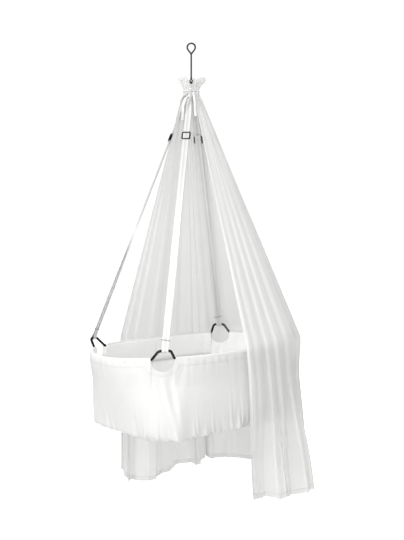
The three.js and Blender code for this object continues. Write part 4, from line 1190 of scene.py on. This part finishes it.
def make_tie(scene):
    look = scene.cradle_veil
    tape = material_once(cotton_material, "tie_tape", look.colour, threads=2400.0, weave_depth=0.00018,
                         crease_size=40.0, crease_depth=0.0006)
    level = -look.tie_drop
    turn = np.linspace(0, TAU, 241)[:-1]
    radius = CORD_RING + 0.0006 * waver(turn / TAU * 7, 83, 4, 0.8, 2)
    ring = ring_at(radius, turn, level + 0.0009 * np.sin(3 * turn))
    cord = skin("tie_cord", tube_loops(ring, CORD_RADIUS + 0.0003 * np.sin(turn * 60), 10, True), closed=True)
    dress(cord, tape, "cradle", "tape", "veil_tie")
    bow = join_pieces("bow_tape", bow_loops(level) + bow_knots(level))
    dress(bow, tape, "cradle", "tape", "veil_bow")
    for side, shape in TAILS.items():
        path = tail_path(level, *shape)
        along = np.linspace(0, 1, len(path))[:, None]
        twist = 0.45 * np.sin(along * 5 + (0 if side == "left" else 2)) * along
        across = BOW_RIGHT * np.cos(twist) + BOW_FRONT * np.sin(twist)
        tail = skin(f"tail_tape_{side}", ribbon_loops(path, across, look.tape_width, TAPE_THICKNESS))
        dress(tail, tape, "cradle", "tape", f"veil_tail_{side}")


def bow_loops(level):
    loops, t = [], np.linspace(0, 1, 49)
    for name, slope, reach in BOW_LOOPS:
        a = math.radians(slope)
        along = BOW_RIGHT * math.cos(a) + BOW_UP * math.sin(a)
        over = -BOW_RIGHT * math.sin(a) + BOW_UP * math.cos(a)
        x = reach * np.sin(math.pi * t) ** 0.85
        y = LOOP_SIZE * np.sin(TAU * t) * (0.6 + 0.6 * np.sin(math.pi * t))
        out = LOOP_OUT + 0.0012 * np.sin(math.pi * t)
        line = BOW_FRONT * out[:, None] + along * x[:, None] + over * y[:, None] + BOW_UP * level
        across = [BOW_FRONT + 0.25 * over] * len(t)
        loops.append(skin(f"bow_loop_{name}", ribbon_loops(line, across, LOOP_TAPE, TAPE_THICKNESS)))
    return loops


def bow_knots(level):
    knots = []
    for shift, lean in KNOT_TURNS:
        line = [on_front(KNOT_SIZE * math.cos(t) + shift, KNOT_OUT + KNOT_SIZE * math.sin(t) * math.cos(lean),
                         level + 0.0058 * math.sin(t + lean) * 0.7 + shift) for t in np.linspace(0, TAU, 33)[:-1]]
        knots.append(skin("bow_knot", tube_loops(line, KNOT_RADIUS, 8, True), closed=True))
    return knots


def tail_path(level, reach, fall, across, down):
    start_across, start_down = TAIL_START
    route = [on_front(math.copysign(1, reach) * start_across, TAIL_OUT, level - start_down)]
    for a, d, bow in zip(across, down, TAIL_BOW_SHARES):
        route.append(on_front(a * reach, TAIL_OUT + bow * TAIL_BOW, level - start_down - d * fall))
    return catmull(route, 60)


def join_pieces(name, pieces):
    """One piece out of several meshes."""
    made = bmesh.new()
    for piece in pieces:
        made.from_mesh(piece.data)
    mesh = bpy.data.meshes.new(name)
    made.to_mesh(mesh)
    made.free()
    for piece in pieces:
        bpy.data.objects.remove(piece)
    joined = bpy.data.objects.new(name, mesh)
    bpy.context.scene.collection.objects.link(joined)
    return joined


# Mattress


# The mattress's squareness, how far its sides draw in between its corners and how far its seams pucker
PAD_POWER, SIDE_PULL, PUCKER = 3.6, 0.005, 0.0007
# Rows of its underside, as shares of its size; of its lower edge: inset, height and draw; and of its side and top
UNDERSIDE = (0.02, 0.3, 0.6, 0.85)
PAD_EDGE = ((0.012, 0.0, 0.0), (0.006, 0.001, 0.0), (0.0016, 0.0035, 0.3), (0.0, 0.008, 0.8))
SIDE_ROWS, SIDE_MARGIN, TOP_ROWS = 8, 0.012, 74
# The piping's inset, and how far its two rows lie in from the top and the underside
PIPING_INSET, PIPING_TOP, PIPING_BOTTOM = 0.0025, 0.0022, 0.0004


def make_mattress(scene):
    look, rim = scene.cradle_pad, RimPlan(scene.cradle_frame)
    edge = oval(look.half_length, look.half_width, PAD_POWER)
    angles = even_angles(edge, 0, TAU, 260)[:-1]
    grain = np.arange(len(angles)) / len(angles)
    low, high = -look.bottom, -look.bottom + look.thickness
    pull = SIDE_PULL * np.cos(2 * angles) ** 2

    def ring(inset, z, draw):
        pucker = PUCKER * draw * waver(grain * 60, 91, 5, 0.6, 1.5)
        return rim.place(edge(angles) - inset - draw * pull + pucker, angles, z + 0 * angles)

    rows = [rim.place(edge(angles) * part, angles, low + 0 * angles) for part in UNDERSIDE]
    rows += [ring(inset, low + up, draw) for inset, up, draw in PAD_EDGE]
    for part in np.linspace(0, 1, SIDE_ROWS):
        draw = 1 + 0.5 * math.sin(math.pi * part)
        rows.append(ring(0.0, lerp(low + SIDE_MARGIN, high - SIDE_MARGIN, part), draw))
    rows += [ring(inset, high - down, draw) for inset, down, draw in PAD_EDGE[:0:-1]]
    for part in np.concatenate([[0.985], np.linspace(0.965, 0.03, TOP_ROWS)]):
        top = rim.place((edge(angles) - 0.008) * part, angles, high + 0 * angles)
        x, y = top[:, 0], top[:, 1] + rim.size.forward
        one, two = (x + y) / look.quilt, (x - y) / look.quilt
        puff = np.abs(np.sin(math.pi * one)) ** 0.45 * np.abs(np.sin(math.pi * two)) ** 0.45
        field = smooth((1 - part) / 0.08)
        top[:, 2] += look.crown * (1 - part**3) - look.quilt_depth * (1 - puff) * field
        rows.append(top)
    cover = material_once(cotton_material, "mattress_quilt", look.colour, threads=2100.0, weave_depth=0.00014,
                          crease_size=30.0, crease_depth=0.0007)
    pad = skin("mattress_pad", np.array(rows))
    dress(pad, cover, "mattress", "mattress_cloth", "mattress")
    for name, z in (("top", high - PIPING_TOP), ("bottom", low + look.piping + PIPING_BOTTOM)):
        line = rim.place(edge(angles) - PIPING_INSET, angles, z + 0 * angles)
        beads = look.piping * (1 + 0.04 * np.sin(grain * TAU * 260))
        piping = skin(f"mattress_piping_{name}", tube_loops(line, beads, 10, True), closed=True)
        dress(piping, cover, "mattress", "mattress_cloth")


# Metal and board, carried over from the frame


SHARP_EDGE = math.radians(40)


def make_finishes(scene):
    look = scene.cradle_metal
    # The dark base colours of these metal finishes are painted reflection
    steel = material_once(metal_material, "rod_steel", look.steel, 0.16, 0.2)
    dark = material_once(metal_material, "dark_plate", look.dark, 0.1, 0.16, 0.25)
    plate = material_once(metal_material, "buckle_plate", look.plate, 0.3, 0.2, rim=0.12, metallic=0.5)
    board = material_once(wood_material, "board_plywood", look.wood)
    finishes = {"corner_hanger": dark, "strap_buckle": plate, "hanging_rod": steel, "swing_link": steel,
                "strap_keeper": steel, "rim_rail": steel, "base_board": board}
    for name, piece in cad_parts.items():
        finish = next((made for start, made in finishes.items() if name.startswith(start)), None)
        if finish is None:
            continue
        piece.data.materials.clear()
        piece.data.materials.append(finish)
        piece.data.polygons.foreach_set("use_smooth", np.ones(len(piece.data.polygons), bool))
        if finish in (plate, board):
            split = piece.modifiers.new("edges", "EDGE_SPLIT")
            split.split_angle = SHARP_EDGE


# Stage


MIDDLE = (0, 0, -1.1)
# Each light: its name, its place, where it points, its size and its power in watts
LIGHTS = (
    ("key", (-4.4, -0.3, 0.5), MIDDLE, 2.0, 53),
    ("front", (-3.0, -3.4, -0.3), MIDDLE, 2.6, 55),
    ("right", (1.6, -4.4, 0.2), MIDDLE, 2.4, 21),
    ("back", (2.5, 3.5, 0.8), MIDDLE, 3.0, 22),
    ("top", (-2.9, -1.0, 3.4), (-0.2, 0, -1.4), 3.0, 130),
    ("inner_fill", (-0.5, -0.25, -0.8), (0, 0.24, -1.3), 0.4, 1.3),
)
# The floor's half size, its colour, its glow to the camera, and the world's light and backdrop
FLOOR_REACH, PAPER, FLOOR_GLOW, SKY, BACKDROP = 30, (0.95, 0.95, 0.95, 1), 0.6, 0.53, 1.05


def area_light(name, place, target, size, power):
    data = bpy.data.lights.new(name, "AREA")
    data.shape, data.size, data.energy = "DISK", size, power
    lamp = bpy.data.objects.new(name, data)
    bpy.context.scene.collection.objects.link(lamp)
    lamp.location = place
    lamp.rotation_euler = Vector(np.subtract(target, place)).to_track_quat("-Z", "Y").to_euler()
    return lamp


def add_camera(scene, look):
    data = bpy.data.cameras.new("camera")
    data.lens, data.sensor_width, data.clip_end = look.lens, 36, 100
    camera = bpy.data.objects.new("camera", data)
    scene.collection.objects.link(camera)
    camera.location = (look.camera_x, look.camera_y, look.camera_z)
    camera.rotation_euler = (math.pi / 2 - look.pitch, 0, look.turn)
    scene.camera = camera


def add_floor(level):
    """A white floor that the camera sees a little brighter than it's lit."""
    square = [(x * FLOOR_REACH, y * FLOOR_REACH, level) for x, y in ((-1, -1), (1, -1), (1, 1), (-1, 1))]
    floor = finish_mesh("floor", square, [[0, 1, 2, 3]])
    material, tree = new_material("studio_floor")
    paper = node(tree, "BsdfDiffuse", Color=PAPER, Roughness=0.5)
    seen = node(tree, "LightPath").outputs["Is Camera Ray"]
    strength = node(tree, "MapRange", i0=seen, i1=0.0, i2=1.0, i3=0.0, i4=FLOOR_GLOW).outputs[0]
    glow = node(tree, "Emission", Color=WHITE, Strength=strength)
    output_to(tree, node(tree, "AddShader", i0=paper.outputs[0], i1=glow.outputs[0]).outputs[0])
    floor.data.materials.append(material)


def add_world(scene):
    """Even white light, brighter where the camera sees it as the backdrop."""
    world = bpy.data.worlds.new("studio")
    world.use_nodes = True
    tree = world.node_tree
    tree.nodes.clear()
    light = node(tree, "Background", Color=WHITE, Strength=SKY).outputs[0]
    backdrop = node(tree, "Background", Color=WHITE, Strength=BACKDROP).outputs[0]
    seen = node(tree, "LightPath").outputs["Is Camera Ray"]
    mixed = node(tree, "MixShader", i0=seen, i1=light, i2=backdrop)
    tree.links.new(mixed.outputs[0], node(tree, "OutputWorld").inputs[0])
    scene.world = world


def make_stage(scene):
    add_camera(scene, scene.cradle_stage)
    add_floor(scene.cradle_stage.floor)
    add_world(scene)
    lamps = {light[0]: area_light(*light) for light in LIGHTS}
    lamps["inner_fill"].visible_camera = False
    scene.view_settings.view_transform = "Standard"


# Operators, one for each piece or group of like pieces


class CradleOperator:
    """What the operators share: each names the function that makes its piece."""

    def execute(self, context):
        self.make(context.scene)
        return {"FINISHED"}


class CRADLE_OT_stage(CradleOperator, bpy.types.Operator):
    """Set up the camera, the floor and the studio light"""

    bl_idname = "cradle.stage"
    bl_label = "Stage"
    make = staticmethod(make_stage)


class CRADLE_OT_tie(CradleOperator, bpy.types.Operator):
    """Make the veil's tie cord, its bow and its two tape tails"""

    bl_idname = "cradle.tie"
    bl_label = "Tie and tails"
    make = staticmethod(make_tie)


class CRADLE_OT_basket(CradleOperator, bpy.types.Operator):
    """Make the cloth tub with its rim hem, scoops, folds and base cloth"""

    bl_idname = "cradle.basket"
    bl_label = "Basket cloth"
    make = staticmethod(make_basket)


class CRADLE_OT_straps(CradleOperator, bpy.types.Operator):
    """Make the webbing straps and the webbing crown"""

    bl_idname = "cradle.straps"
    bl_label = "Webbing"
    make = staticmethod(make_straps)


class CRADLE_OT_mattress(CradleOperator, bpy.types.Operator):
    """Make the quilted mattress with its piping"""

    bl_idname = "cradle.mattress"
    bl_label = "Mattress"
    make = staticmethod(make_mattress)


class CRADLE_OT_veil(CradleOperator, bpy.types.Operator):
    """Make the veil, from its ruffle down to its hem"""

    bl_idname = "cradle.veil"
    bl_label = "Veil"
    make = staticmethod(make_veil)


class CRADLE_OT_finishes(CradleOperator, bpy.types.Operator):
    """Give the steel pieces and the base board their finishes"""

    bl_idname = "cradle.finishes"
    bl_label = "Metal and board"
    make = staticmethod(make_finishes)


OPERATORS = (CRADLE_OT_stage, CRADLE_OT_tie, CRADLE_OT_basket, CRADLE_OT_straps, CRADLE_OT_mattress,
             CRADLE_OT_veil, CRADLE_OT_finishes)


class CRADLE_PT_panel(bpy.types.Panel):
    """Lists the cradle's operators and settings"""

    bl_idname = "CRADLE_PT_panel"
    bl_label = "Hanging cradle"
    bl_space_type = "VIEW_3D"
    bl_region_type = "UI"
    bl_category = "Cradle"

    def draw(self, context):
        for operator in OPERATORS:
            self.layout.operator(operator.bl_idname)
        for name, kind in SETTINGS.items():
            box = self.layout.box()
            box.label(text=kind.__doc__)
            for key in kind.__annotations__:
                box.prop(getattr(context.scene, name), key)


def register():
    for kind in (*SETTINGS.values(), *OPERATORS, CRADLE_PT_panel):
        bpy.utils.register_class(kind)
    for name, kind in SETTINGS.items():
        setattr(bpy.types.Scene, name, PointerProperty(type=kind))


def unregister():
    for name in SETTINGS:
        delattr(bpy.types.Scene, name)
    for kind in reversed((*SETTINGS.values(), *OPERATORS, CRADLE_PT_panel)):
        bpy.utils.unregister_class(kind)


def main():
    register()
    for operator in OPERATORS:
        group, name = operator.bl_idname.split(".")
        getattr(getattr(bpy.ops, group), name)()


if __name__ == "__main__":
    main()
